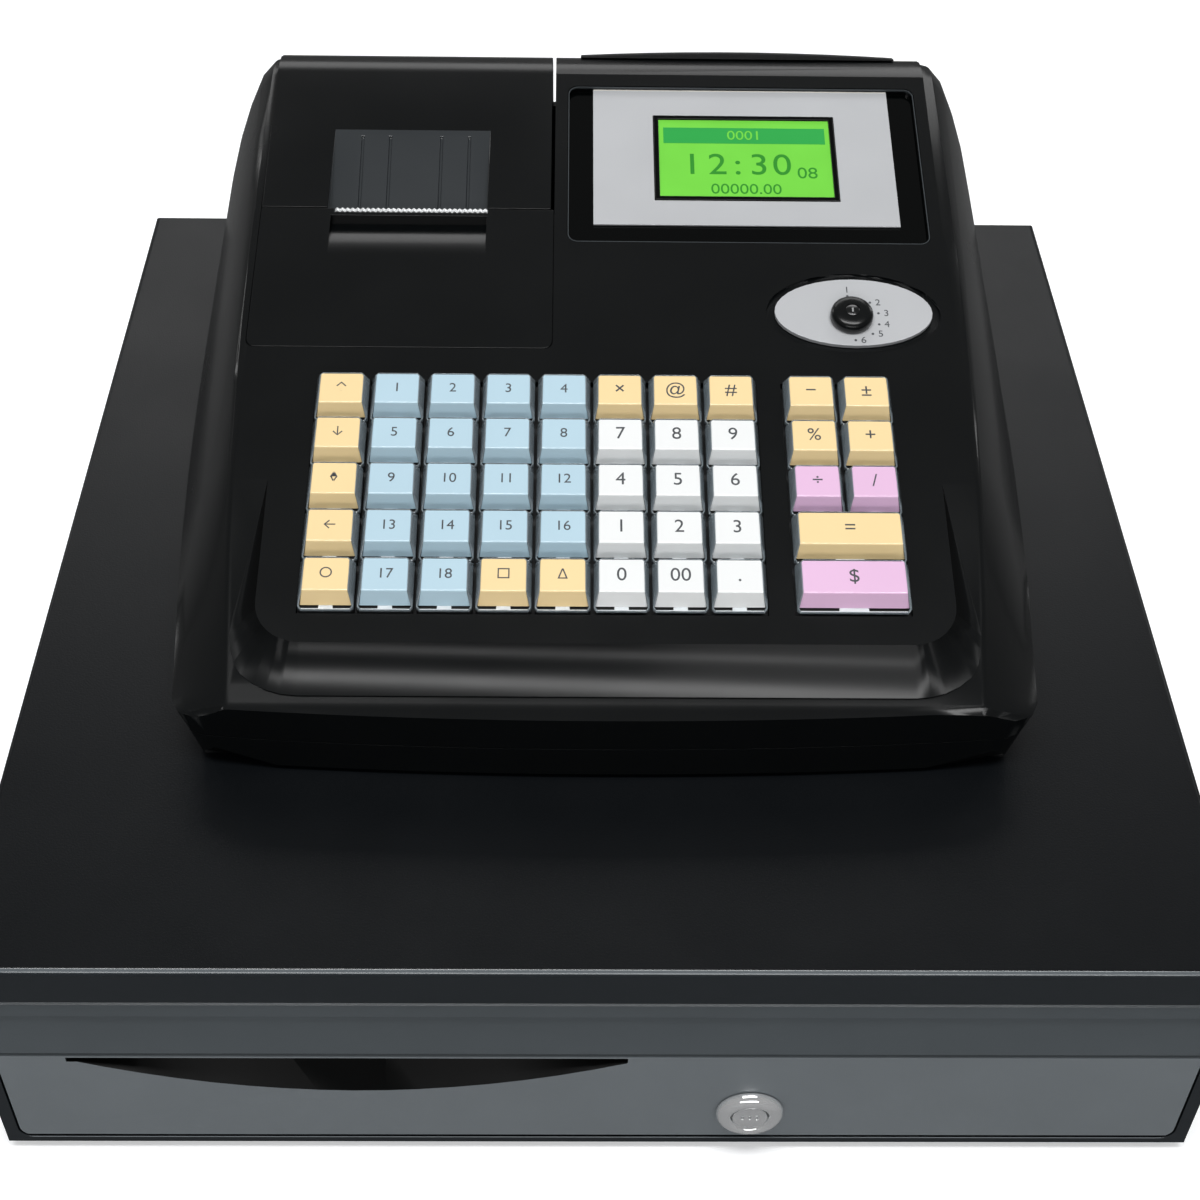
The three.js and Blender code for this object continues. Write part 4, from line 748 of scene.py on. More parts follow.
def rounded(left: float, right: float, front: float, rear: float, radius: float,
            steps: int = 8) -> list[Point]:
    """The outline of a rectangle with rounded corners.

    Args:
        left: lowest value across.
        right: highest value across.
        front: lowest value along.
        rear: highest value along.
        radius: radius of each corner.
        steps: straight pieces round one corner.

    Returns:
        The outline's corners, in order.
    """
    corners = ((right - radius, front + radius, -QUARTER_TURN), (right - radius, rear - radius, 0.0),
               (left + radius, rear - radius, QUARTER_TURN), (left + radius, front + radius, math.pi))
    outline = []
    for centre_a, centre_b, start in corners:
        for step in range(steps + 1):
            turn = start + QUARTER_TURN * step / steps
            outline.append((centre_a + radius * math.cos(turn), centre_b + radius * math.sin(turn)))
    return outline


def disc(centre: Point, radius: float, steps: int) -> list[Point]:
    """The outline of a circle round a centre, with a number of straight pieces.

    Args:
        centre: middle of the circle in millimetres.
        radius: its radius.
        steps: straight pieces round it.

    Returns:
        The outline's corners, in order.
    """
    turns = [FULL_TURN * step / steps for step in range(steps)]
    return [(centre[0] + radius * math.cos(turn), centre[1] + radius * math.sin(turn)) for turn in turns]


def merged(shapes: Iterable[bmesh.types.BMesh]) -> bmesh.types.BMesh:
    """Several shapes as one, each still closed in itself.

    Args:
        shapes: the shapes, which are freed.

    Returns:
        One shape that holds them all.
    """
    whole = bmesh.new()
    for shape in shapes:
        bmesh.ops.recalc_face_normals(shape, faces=shape.faces)
        mesh = kept_mesh(shape, "part of a whole")
        whole.from_mesh(mesh)
        bpy.data.meshes.remove(mesh)
    return whole


def painted(shape: bmesh.types.BMesh, slot: int) -> bmesh.types.BMesh:
    """Give every face of a shape one material slot.

    Args:
        shape: the shape to mark.
        slot: the slot's place.

    Returns:
        The same shape.
    """
    for face in shape.faces:
        face.material_index = slot
    return shape


def share_faces(piece: bpy.types.Object, choose: Choice, *materials: bpy.types.Material) -> None:
    """Give a piece more materials, and each of its faces the slot that is chosen for it.

    Args:
        piece: the piece, which has one material so far.
        choose: what tells a face's slot.
        *materials: the materials of the further slots, in order.
    """
    for material in materials:
        piece.data.materials.append(material)
    for face in piece.data.polygons:
        face.material_index = int(choose(face))


def put(shape: bmesh.types.BMesh, place: Matrix) -> bmesh.types.BMesh:
    """Move a shape to its place.

    Args:
        shape: the shape to move.
        place: where to, in metres.

    Returns:
        The same shape.
    """
    bmesh.ops.transform(shape, matrix=place, verts=shape.verts)
    return shape


def lettering(text: str, size: float, centre: Point, height: float, thick: float) -> bmesh.types.BMesh:
    """Flat digits or signs that lie on a plane.

    Args:
        text: the digits or signs.
        size: height of a line in millimetres.
        centre: middle of the text in millimetres.
        height: height of the plane in millimetres.
        thick: how far the text stands off the plane, in millimetres.

    Returns:
        The text's shape, in metres.
    """
    curve = bpy.data.curves.new("lettering", "FONT")
    curve.body = text
    curve.size = mm(size)
    curve.extrude = mm(thick) / 2
    curve.align_x = "CENTER"
    curve.align_y = "CENTER"
    holder = bpy.data.objects.new("lettering", curve)
    bpy.context.scene.collection.objects.link(holder)
    mesh = evaluated(holder)
    bpy.data.objects.remove(holder)
    bpy.data.curves.remove(curve)
    shape = shape_of(mesh)
    bpy.data.meshes.remove(mesh)
    return put(shape, Matrix.Translation((mm(centre[0]), mm(centre[1]), mm(height + thick / 2))))


# The loaded frame and what is laid over it


class Solids:
    """The loaded frame: which body and which material slot each solid has."""

    def __init__(self, frame: dict) -> None:
        """Read the frame's record.
        """
        record = frame["record"]
        self.nodes = frame["nodes"]
        self.bodies = {node: body for body, nodes in record["behaviour"]["bodies"].items() for node in nodes}
        self.slots = {part["node"]: part["material_slot"] for part in record["subparts"]}

    def coat(self, node: str, finish: Finish) -> None:
        """Give a solid that keeps its shape its finish.

        Args:
            node: the solid.
            finish: its finish.
        """
        mesh = self.nodes[node].data
        mesh.materials.clear()
        mesh.materials.append(finish.material())
        log.info("%s coated with %s", node, finish.name)

    def worked_copy(self, node: str) -> bmesh.types.BMesh:
        """A copy of a solid with its loose triangles merged and its flat faces whole.

        Args:
            node: the solid.

        Returns:
            The copy, in metres.
        """
        shape = shape_of(self.nodes[node].data)
        bmesh.ops.remove_doubles(shape, verts=shape.verts, dist=mm(MERGE))
        bmesh.ops.dissolve_limit(shape, angle_limit=math.radians(FLAT_DEGREES), verts=shape.verts,
                                 edges=shape.edges)
        return shape

    def lay(self, piece: bpy.types.Object, like: str, *replaced: str) -> bpy.types.Object:
        """Let a piece ride with a solid, in place of the solids named.

        Args:
            piece: the finished piece.
            like: the solid whose body it shares.
            *replaced: solids that the piece stands for.

        Returns:
            The same piece.
        """
        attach(piece, self.bodies[like])
        if replaced:
            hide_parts(*replaced)
        log.info("%s laid on %s", piece.name, like)
        return piece

    def dress(self, node: str, finish: Finish, rounding: float, degrees: float = SMOOTH_DEGREES,
              zone: Zone | None = None, shaping: Shaping | None = None,
              plane: Matrix | None = None) -> bpy.types.Object:
        """Replace a solid by a copy of itself with rounded edges and smooth curves.

        Args:
            node: the solid.
            finish: its finish.
            rounding: width of the rounding in millimetres.
            degrees: edges sharper than this are rounded.
            zone: where fainter edges are rounded too.
            shaping: what else is done to the copy before its edges are rounded.
            plane: the axes of a plane whose faces shade flat.

        Returns:
            The copy, laid in the solid's place.
        """
        shape = self.worked_copy(node)
        if shaping is not None:
            shaping(shape)
        name = f"{node}_dressed"
        piece = new_piece(name, kept_mesh(shape, name), finish)
        soften(piece, rounding, degrees, zone=zone, plane=plane)
        return self.lay(piece, node, node)


# Repeats


@dataclass(frozen=True)
class GridTree:
    """A node tree that sets copies of one piece out in columns and rows.

    Attributes:
        columns: copies across.
        rows: copies along.
        pitch_across: distance between columns, in millimetres.
        pitch_along: distance between rows, in millimetres.
    """

    columns: int
    rows: int
    pitch_across: float
    pitch_along: float

    def spread(self, mesh: bpy.types.Mesh, finish: Finish) -> bpy.types.Mesh:
        """Set out copies of a mesh, the first of them where the mesh is.

        Args:
            mesh: the shape to repeat.
            finish: the finish of every copy.

        Returns:
            One plain mesh that holds all the copies.
        """
        holder = new_piece("grid_holder", mesh, finish)
        tree = self._tree(finish)
        modifier = holder.modifiers.new("grid", "NODES")
        modifier.node_group = tree
        sizes = {"Columns": self.columns, "Rows": self.rows, "Across": mm(self.pitch_across),
                 "Along": mm(self.pitch_along)}
        for item in tree.interface.items_tree:
            if item.in_out == "INPUT" and item.name in sizes:
                modifier[item.identifier] = sizes[item.name]
        spread = evaluated(holder)
        bpy.data.objects.remove(holder)
        bpy.data.node_groups.remove(tree)
        return spread

    def _tree(self, finish: Finish) -> bpy.types.GeometryNodeTree:
        """Build the tree: a grid of points, a copy on each, made real and given its finish.

        Args:
            finish: the finish of every copy.

        Returns:
            The tree.
        """
        tree = bpy.data.node_groups.new("grid_of_copies", "GeometryNodeTree")
        sockets = (("Geometry", "INPUT", "NodeSocketGeometry"), ("Columns", "INPUT", "NodeSocketInt"),
                   ("Rows", "INPUT", "NodeSocketInt"), ("Across", "INPUT", "NodeSocketFloat"),
                   ("Along", "INPUT", "NodeSocketFloat"), ("Geometry", "OUTPUT", "NodeSocketGeometry"))
        for name, way, kind in sockets:
            tree.interface.new_socket(name, in_out=way, socket_type=kind)
        given = tree.nodes.new("NodeGroupInput").outputs
        line_across = self._line(tree, given["Columns"], given["Across"], "X")
        line_along = self._line(tree, given["Rows"], given["Along"], "Y")
        first = self._copies(tree, line_across, given["Geometry"])
        second = self._copies(tree, line_along, first)
        real = tree.nodes.new("GeometryNodeRealizeInstances")
        coat = tree.nodes.new("GeometryNodeSetMaterial")
        coat.inputs["Material"].default_value = finish.material()
        tree.links.new(second, real.inputs["Geometry"])
        tree.links.new(real.outputs["Geometry"], coat.inputs["Geometry"])
        out = tree.nodes.new("NodeGroupOutput")
        tree.links.new(coat.outputs["Geometry"], out.inputs["Geometry"])
        return tree

    def _line(self, tree: bpy.types.GeometryNodeTree, count: bpy.types.NodeSocket,
              pitch: bpy.types.NodeSocket, axis: str) -> bpy.types.NodeSocket:
        """A row of points along one axis, the first at the origin.

        Args:
            tree: the tree that gets the nodes.
            count: how many points.
            pitch: their distance.
            axis: X or Y.

        Returns:
            The points.
        """
        step = tree.nodes.new("ShaderNodeCombineXYZ")
        tree.links.new(pitch, step.inputs[axis])
        line = tree.nodes.new("GeometryNodeMeshLine")
        line.mode = "OFFSET"
        tree.links.new(count, line.inputs["Count"])
        tree.links.new(step.outputs["Vector"], line.inputs["Offset"])
        return line.outputs["Mesh"]

    def _copies(self, tree: bpy.types.GeometryNodeTree, points: bpy.types.NodeSocket,
                shape: bpy.types.NodeSocket) -> bpy.types.NodeSocket:
        """A copy of a shape on each point.

        Args:
            tree: the tree that gets the nodes.
            points: where the copies go.
            shape: what is copied.

        Returns:
            The copies.
        """
        copies = tree.nodes.new("GeometryNodeInstanceOnPoints")
        tree.links.new(points, copies.inputs["Points"])
        tree.links.new(shape, copies.inputs["Instance"])
        return copies.outputs["Instances"]


# Keys


@dataclass(frozen=True)
class Legend:
    """What is printed on one key: digits or a plain sign, and how high it stands."""

    text: str
    size: float = 7.4


@dataclass(frozen=True)
class KeyBlock:
    """Where the keys stand on the deck, in deck millimetres.

    Attributes:
        first_across: left edge of the first column.
        first_along: front edge of the front row.
        right_across: left edge of the right-hand block.
        pitch_across: distance between columns.
        pitch_along: distance between rows.
        size: depth of a key.
        wide: width of a double key.
        rows: how many rows there are.
    """

    first_across: float = -103.8
    first_along: float = -1.1
    right_across: float = 66.1
    pitch_across: float = 20.12
    pitch_along: float = 19.9
    size: float = 19.0
    wide: float = 39.12
    rows: int = 5

    def centre(self, left: float, width: float, line: int) -> Point:
        """Middle of a key.

        Args:
            left: its left edge.
            width: its width.
            line: its row, counted from the back, the first being one.

        Returns:
            The middle, across and along.
        """
        along = self.first_along + (self.rows - line) * self.pitch_along
        return (left + width / 2, along + self.size / 2)


@dataclass(frozen=True)
class KeyCap:
    """A key as seen: a coloured insert, a clear surround that flares to its skirt, a slotted rim.

    Sizes are in millimetres from the key's middle and from the deck.
    """

    width: float = 19.0
    depth: float = 19.0
    foot: float = 0.3
    skirt: float = 3.0
    top: float = 7.0
    side_inset: float = 1.5
    rear_inset: float = 1.2
    crease: float = 4.6
    corner: float = 1.0
    wall: float = 0.75
    rim_depth: float = 1.0
    rim_top: float = 1.3
    slot_depth: float = 0.9
    tab_share: float = 0.26
    insert_side: float = 0.35
    insert_foot: float = 0.9
    insert_front_side: float = 0.65
    insert_drop: float = 0.06
    stem: float = 5.0
    stem_end: float = 10.0
    slope_dip: float = 0.25

    @property
    def half_width(self) -> float:
        """Half of the key's width."""
        return self.width / 2

    @property
    def half_depth(self) -> float:
        """Half of the key's depth."""
        return self.depth / 2

    def insert(self) -> bmesh.types.BMesh:
        """The coloured block: a flat top, and a front that slopes and flares to the rim.

        Returns:
            The shape, in metres, round the key's own middle.
        """
        side = self.half_width - self.side_inset - self.insert_side
        flare = self.half_width - self.insert_front_side
        front = -self.half_depth
        rear = self.half_depth - self.rear_inset - self.insert_side
        crease = front + self.crease
        low_front = front + self.rim_depth + self.slot_depth
        top = self.top - self.insert_drop
        rings = []
        for hand in (-1, 1):
            corners = (
                (hand * side, rear, self.insert_foot), (hand * side, rear, top), (hand * side, crease, top),
                (hand * (side + self.slope_dip), crease - self.slope_dip, top - self.slope_dip),
                (hand * flare, low_front, self.rim_top), (hand * flare, low_front, self.insert_foot),
            )
            rings.append([Vector((mm(a), mm(b), mm(c))) for a, b, c in corners])
        return lofted(rings)

    def stem_shape(self) -> bmesh.types.BMesh:
        """The square stem that runs in the guide plate."""
        reach = self.stem / 2
        return prism(rounded(-reach, reach, -reach, reach, self.corner / 2, 2), -self.stem_end, self.skirt)

    def surround(self) -> bmesh.types.BMesh:
        """The clear wall round the insert, open at the top and low across the front.

        Returns:
            The shape, in metres, round the key's own middle.
        """
        half, deep, cut = self.half_width, self.half_depth, self.corner
        side = half - self.side_inset
        rear = deep - self.rear_inset
        crease = -deep + self.crease
        # Where the skirt and the top edge stand on the right side, from the rear to the front.
        stations = (
            ((half - cut, deep), (side - cut, rear, self.top)),
            ((half, deep - cut), (side, rear - cut, self.top)),
            ((half, crease), (side, crease, self.top)),
            ((half, cut - deep), (half - self.insert_side, cut - deep, self.rim_top + self.corner)),
            ((half - cut, -deep), (half - cut, -deep + self.insert_side / 2, self.rim_top)),
        )
        mirrored = [((-a, b), (-c, d, e)) for (a, b), (c, d, e) in reversed(stations)]
        ring = [*stations, *mirrored]
        shape = bmesh.new()
        walls = [self._wall(shape, base, top) for base, top in ring]
        for here, after in zip(walls, walls[1:] + walls[:1]):
            for corner in range(len(here)):
                follow = (corner + 1) % len(here)
                shape.faces.new((here[corner], here[follow], after[follow], after[corner]))
        return shape

    def _wall(self, shape: bmesh.types.BMesh, base: Point, top: Triple) -> list[bmesh.types.BMVert]:
        """One cut through the clear wall: foot, skirt edge, top edge and the same inside.

        Args:
            shape: the shape that gets the points.
            base: place of the skirt's outside.
            top: place and height of the top's outside.

        Returns:
            The cut's points, in order.
        """
        inward = Vector((-base[0], -base[1])).normalized() * self.wall
        skirt = min(self.skirt, top[2])
        section = (
            (base[0], base[1], self.foot), (base[0], base[1], skirt - self.insert_drop), top,
            (top[0] + inward[0] / 2, top[1] + inward[1] / 2, top[2] - self.insert_drop),
            (base[0] + inward[0], base[1] + inward[1], skirt - self.wall),
            (base[0] + inward[0], base[1] + inward[1], self.foot),
        )
        return [shape.verts.new((mm(a), mm(b), mm(c))) for a, b, c in section]

    def slots(self) -> bmesh.types.BMesh:
        """Near-black blocks in the two slots behind the front rim, either side of a short tab, painted as the
        shadow in them.

        Returns:
            The shape, in metres, round the key's own middle.
        """
        front = -self.half_depth + self.rim_depth - self.slot_depth / 2
        rear = front + self.slot_depth + self.slot_depth
        reach = self.half_width - self.insert_front_side
        inner = self.half_width * self.tab_share
        floor = self.insert_foot - self.slot_depth / 2
        return merged(
            prism(rectangle(low, high, front, rear), self.foot, floor)
            for low, high in ((-reach, -inner), (inner, reach))
        )

    def rim(self) -> bmesh.types.BMesh:
        """The pale front rim and the tab that joins it to the insert.

        Returns:
            The shape, in metres, round the key's own middle.
        """
        front = -self.half_depth + self.insert_side
        rear = front + self.insert_side
        reach = self.half_width - self.corner
        inner = self.half_width * self.tab_share
        joint = -self.half_depth + self.rim_depth + self.slot_depth
        outline = [(-reach, front), (reach, front), (reach, rear), (inner, rear), (inner, joint),
                   (-inner, joint), (-inner, rear), (-reach, rear)]
        return prism(outline, self.foot, self.rim_top)


class KeyPart(IntEnum):
    """The material slots of a key that moves."""

    INSERT = 0
    RIM = 1
    # Painted shadow in the slots.
    SLOT = 2
    INK = 3
    CLEAR = 4


class BankPart(IntEnum):
    """The material slots of the bank of keys on the left."""

    YELLOW = 0
    BLUE = 1
    RIM = 2
    # Painted shadow in the slots.
    SLOT = 3
    INK = 4
    CLEAR = 5


@dataclass(frozen=True)
class Patch:
    """A block of keys in the left bank: its front left key, and how many keys it has each way."""

    column: int
    line: int
    columns: int
    rows: int


LEGENDS = {
    "key_c6_r1": Legend("×"), "key_c7_r1": Legend("@"), "key_c8_r1": Legend("#"),
    "key_c6_r2": Legend("7"), "key_c7_r2": Legend("8"), "key_c8_r2": Legend("9"),
    "key_c6_r3": Legend("4"), "key_c7_r3": Legend("5"), "key_c8_r3": Legend("6"),
    "key_c6_r4": Legend("1"), "key_c7_r4": Legend("2"), "key_c8_r4": Legend("3"),
    "key_c6_r5": Legend("0"), "key_c7_r5": Legend("00"), "key_c8_r5": Legend("."),
    "key_c9_r1": Legend("−"), "key_c10_r1": Legend("±"), "key_c9_r2": Legend("%"),
    "key_c10_r2": Legend("+"), "key_c9_r3": Legend("÷"), "key_c10_r3": Legend("/"),
    "key_wide_r4": Legend("="), "key_wide_r5": Legend("$"),
}

COLUMN_SIGNS = ("↑", "↓", "◊", "←", "○")
FRONT_SIGNS = ("□", "∆")
KEY_FINISHES = {"key_yellow": KEY_YELLOW, "key_pink": KEY_PINK, "key_white": KEY_WHITE, "key_blue": KEY_BLUE}


@dataclass
class Keyboard:
    """All the keys: twenty-five on the left in one bank, and twenty-three that each move."""

    block: KeyBlock = field(default_factory=KeyBlock)
    cap: KeyCap = field(default_factory=KeyCap)
    fixed_columns: int = 5
    moving_columns: int = 3
    blue_rows: int = 4
    front_blue: int = 2
    cap_rounding: float = 0.35
    clear_rounding: float = 0.18
    small_legend: float = 5.6
    legend_rise: float = 0.04
    guide_top: float = 0.12

    def build(self, solids: Solids) -> None:
        """Make and lay every key.

        Args:
            solids: the loaded frame.
        """
        for node in LEGENDS:
            self._moving_key(solids, node)
        self._left_bank(solids)
        self._guide(solids)

    def _finishes(self, insert: Finish) -> tuple[Finish, ...]:
        """The finishes of a key in slot order."""
        return (insert, CAP_RIM, SHADOW, INK, CLEAR)

    def _softened(self, shape: bmesh.types.BMesh, width: float, finish: Finish) -> bpy.types.Mesh:
        """A shape with rounded edges, as a mesh.

        Args:
            shape: the shape.
            width: width of the rounding in millimetres.
            finish: the finish that it has meanwhile.

        Returns:
            The mesh.
        """
        piece = soften(new_piece("edge_holder", mesh_of(shape, "edge_holder"), finish), width)
        mesh = piece.data
        bpy.data.objects.remove(piece)
        return mesh

    def _parts(self, cap: KeyCap, insert: Finish) -> dict[KeyPart, bpy.types.Mesh]:
        """The parts of one key as meshes, round the key's own middle.

        Args:
            cap: the key's sizes.
            insert: the finish of its insert.

        Returns:
            The mesh of each part.
        """
        return {
            KeyPart.INSERT: self._softened(cap.insert(), self.cap_rounding, insert),
            KeyPart.RIM: self._softened(cap.rim(), self.clear_rounding, CAP_RIM),
            KeyPart.SLOT: mesh_of(cap.slots(), "slots"),
            KeyPart.CLEAR: self._softened(cap.surround(), self.clear_rounding, CLEAR),
        }

    def _legend(self, cap: KeyCap, legend: Legend) -> bmesh.types.BMesh:
        """The print on a key's top, round the key's own middle.

        Args:
            cap: the key's sizes.
            legend: what is printed.

        Returns:
            The print's shape.
        """
        middle = (cap.crease - cap.rear_inset) / 2
        height = cap.top - cap.insert_drop
        return lettering(legend.text, legend.size, (0.0, middle), height, self.legend_rise)

    def _joined(self, parts: dict[KeyPart, bpy.types.Mesh], name: str) -> bpy.types.Mesh:
        """Several part meshes as one, each with its own slot.

        Args:
            parts: the mesh of each part.
            name: the new mesh's name.

        Returns:
            The mesh.
        """
        return kept_mesh(merged(painted(shape_of(mesh), part) for part, mesh in parts.items()), name)

    def _place(self, node: str) -> tuple[Point, KeyCap]:
        """The middle and the cap of a key that moves, from its name.

        Args:
            node: the key's name in the frame.

        Returns:
            The middle on the deck, and the cap.
        """
        line = int(node.rsplit("_r", 1)[1])
        if "wide" in node:
            cap = KeyCap(width=self.block.wide)
            return self.block.centre(self.block.right_across, cap.width, line), cap
        column = int(node.split("_c")[1].split("_")[0])
        left_columns = self.fixed_columns + self.moving_columns
        if column <= left_columns:
            left = self.block.first_across + (column - 1) * self.block.pitch_across
        else:
            left = self.block.right_across + (column - left_columns - 1) * self.block.pitch_across
        return self.block.centre(left, self.cap.width, line), self.cap

    def _moving_key(self, solids: Solids, node: str) -> None:
        """Make one key that moves, with its stem and its print.

        Args:
            solids: the loaded frame.
            node: the key's name in the frame.
        """
        centre, cap = self._place(node)
        insert = KEY_FINISHES[solids.slots[node]]
        parts = self._parts(cap, insert)
        parts[KeyPart.INK] = mesh_of(self._legend(cap, LEGENDS[node]), "legend")
        whole = shape_of(self._joined(parts, f"{node}_parts"))
        whole.from_mesh(mesh_of(painted(cap.stem_shape(), KeyPart.RIM), "stem"))
        mesh = kept_mesh(whole, f"{node}_cap")
        mesh.transform(DECK @ Matrix.Translation((mm(centre[0]), mm(centre[1]), 0.0)))
        piece = shade(new_piece(f"{node}_cap", mesh, *self._finishes(insert)))
        solids.lay(piece, node, node)

    def _left_bank(self, solids: Solids) -> None:
        """Make the bank of keys on the left from grids of one cap.

        Args:
            solids: the loaded frame.
        """
        front, others = self.block.rows, self.fixed_columns - 1
        inserts = (
            (BankPart.YELLOW, KEY_YELLOW, Patch(1, front, 1, self.block.rows)),
            (BankPart.YELLOW, KEY_YELLOW, Patch(2 + self.front_blue, front, others - self.front_blue, 1)),
            (BankPart.BLUE, KEY_BLUE, Patch(2, self.blue_rows, others, self.blue_rows)),
            (BankPart.BLUE, KEY_BLUE, Patch(2, front, self.front_blue, 1)),
        )
        shapes = []
        for slot, finish, patch in inserts:
            mesh = self._softened(self.cap.insert(), self.cap_rounding, finish)
            shapes.append(painted(self._grid(mesh, finish, patch), slot))
        shared = self._parts(self.cap, KEY_YELLOW)
        everywhere = Patch(1, front, self.fixed_columns, self.block.rows)
        cap_parts = (
            (BankPart.RIM, KeyPart.RIM, CAP_RIM),
            (BankPart.SLOT, KeyPart.SLOT, SHADOW),
            (BankPart.CLEAR, KeyPart.CLEAR, CLEAR),
        )
        for slot, part, finish in cap_parts:
            shapes.append(painted(self._grid(shared[part], finish, everywhere), slot))
        shapes.extend(painted(print_, BankPart.INK) for print_ in self._left_legends())
        mesh = kept_mesh(merged(shapes), "left_key_bank")
        mesh.transform(DECK)
        piece = new_piece("left_key_bank", mesh, KEY_YELLOW, KEY_BLUE, CAP_RIM, SHADOW, INK, CLEAR)
        solids.lay(shade(piece), "key_bank_left")

    def _middle(self, column: int, line: int) -> Matrix:
        """The way from the deck's own middle to the middle of a key of the left bank.

        Args:
            column: the key's column, counted from the left, the first being one.
            line: its row, counted from the back, the first being one.

        Returns:
            The move.
        """
        left = self.block.first_across + (column - 1) * self.block.pitch_across
        centre = self.block.centre(left, self.cap.width, line)
        return Matrix.Translation((mm(centre[0]), mm(centre[1]), 0.0))

    def _grid(self, mesh: bpy.types.Mesh, finish: Finish, patch: Patch) -> bmesh.types.BMesh:
        """Copies of a key part over a block of keys.

        Args:
            mesh: the part, round the key's own middle.
            finish: the part's finish.
            patch: the keys that get it.

        Returns:
            All the copies as one shape.
        """
        mesh.transform(self._middle(patch.column, patch.line))
        grid = GridTree(patch.columns, patch.rows, self.block.pitch_across, self.block.pitch_along)
        return shape_of(grid.spread(mesh, finish))

    def _left_legends(self) -> list[bmesh.types.BMesh]:
        """The plain numbers and signs on the left bank.

        Returns:
            The shape of each print, in its place on the deck.
        """
        prints = []
        number = 0
        for line in range(1, self.block.rows + 1):
            for column in range(1, self.fixed_columns + 1):
                front_sign = line == self.block.rows and column > 1 + self.front_blue
                if column == 1:
                    text = COLUMN_SIGNS[line - 1]
                elif front_sign:
                    text = FRONT_SIGNS[column - self.front_blue - 2]
                else:
                    number += 1
                    text = str(number)
                shape = self._legend(self.cap, Legend(text, self.small_legend))
                prints.append(put(shape, self._middle(column, line)))
        return prints

    def _guide(self, solids: Solids) -> None:
        """Keep the plate under the left bank, without the blanks that stand on it.

        Args:
            solids: the loaded frame.
        """
        shape = solids.worked_copy("key_bank_left")
        cut = DECK @ Vector((0.0, 0.0, mm(self.guide_top)))
        everything = [*shape.verts, *shape.edges, *shape.faces]
        worked = bmesh.ops.bisect_plane(shape, geom=everything, plane_co=cut,
                                        plane_no=DECK.to_3x3() @ UPWARDS, clear_outer=True)
        rim = [item for item in worked["geom_cut"] if isinstance(item, bmesh.types.BMEdge)]
        bmesh.ops.holes_fill(shape, edges=rim)
        piece = new_piece("left_key_guide", mesh_of(shape, "left_key_guide"), INNER)
        solids.lay(piece, "key_bank_left", "key_bank_left")
        solids.coat("key_guide_right", INNER)


# Drawer, lock and cabinet


class CabinetPart(IntEnum):
    """The material slots of the cabinet."""

    SHEET = 0
    # Painted highlight along the rounded top front fold.
    FOLD = 1
    FASCIA = 2
    # The foot of the front, with the lighter copy of the front.
    SILL = 3


class FrontPart(IntEnum):
    """The material slots of the drawer front."""

    FACE = 0
    # Painted shade in the slot and the scoop under it.
    SCOOP = 1
    # Painted highlight along the front's top edge.
    EDGE = 2
    # The face below the slot's top, painted lighter as if more lit.
    LOWER_FACE = 3


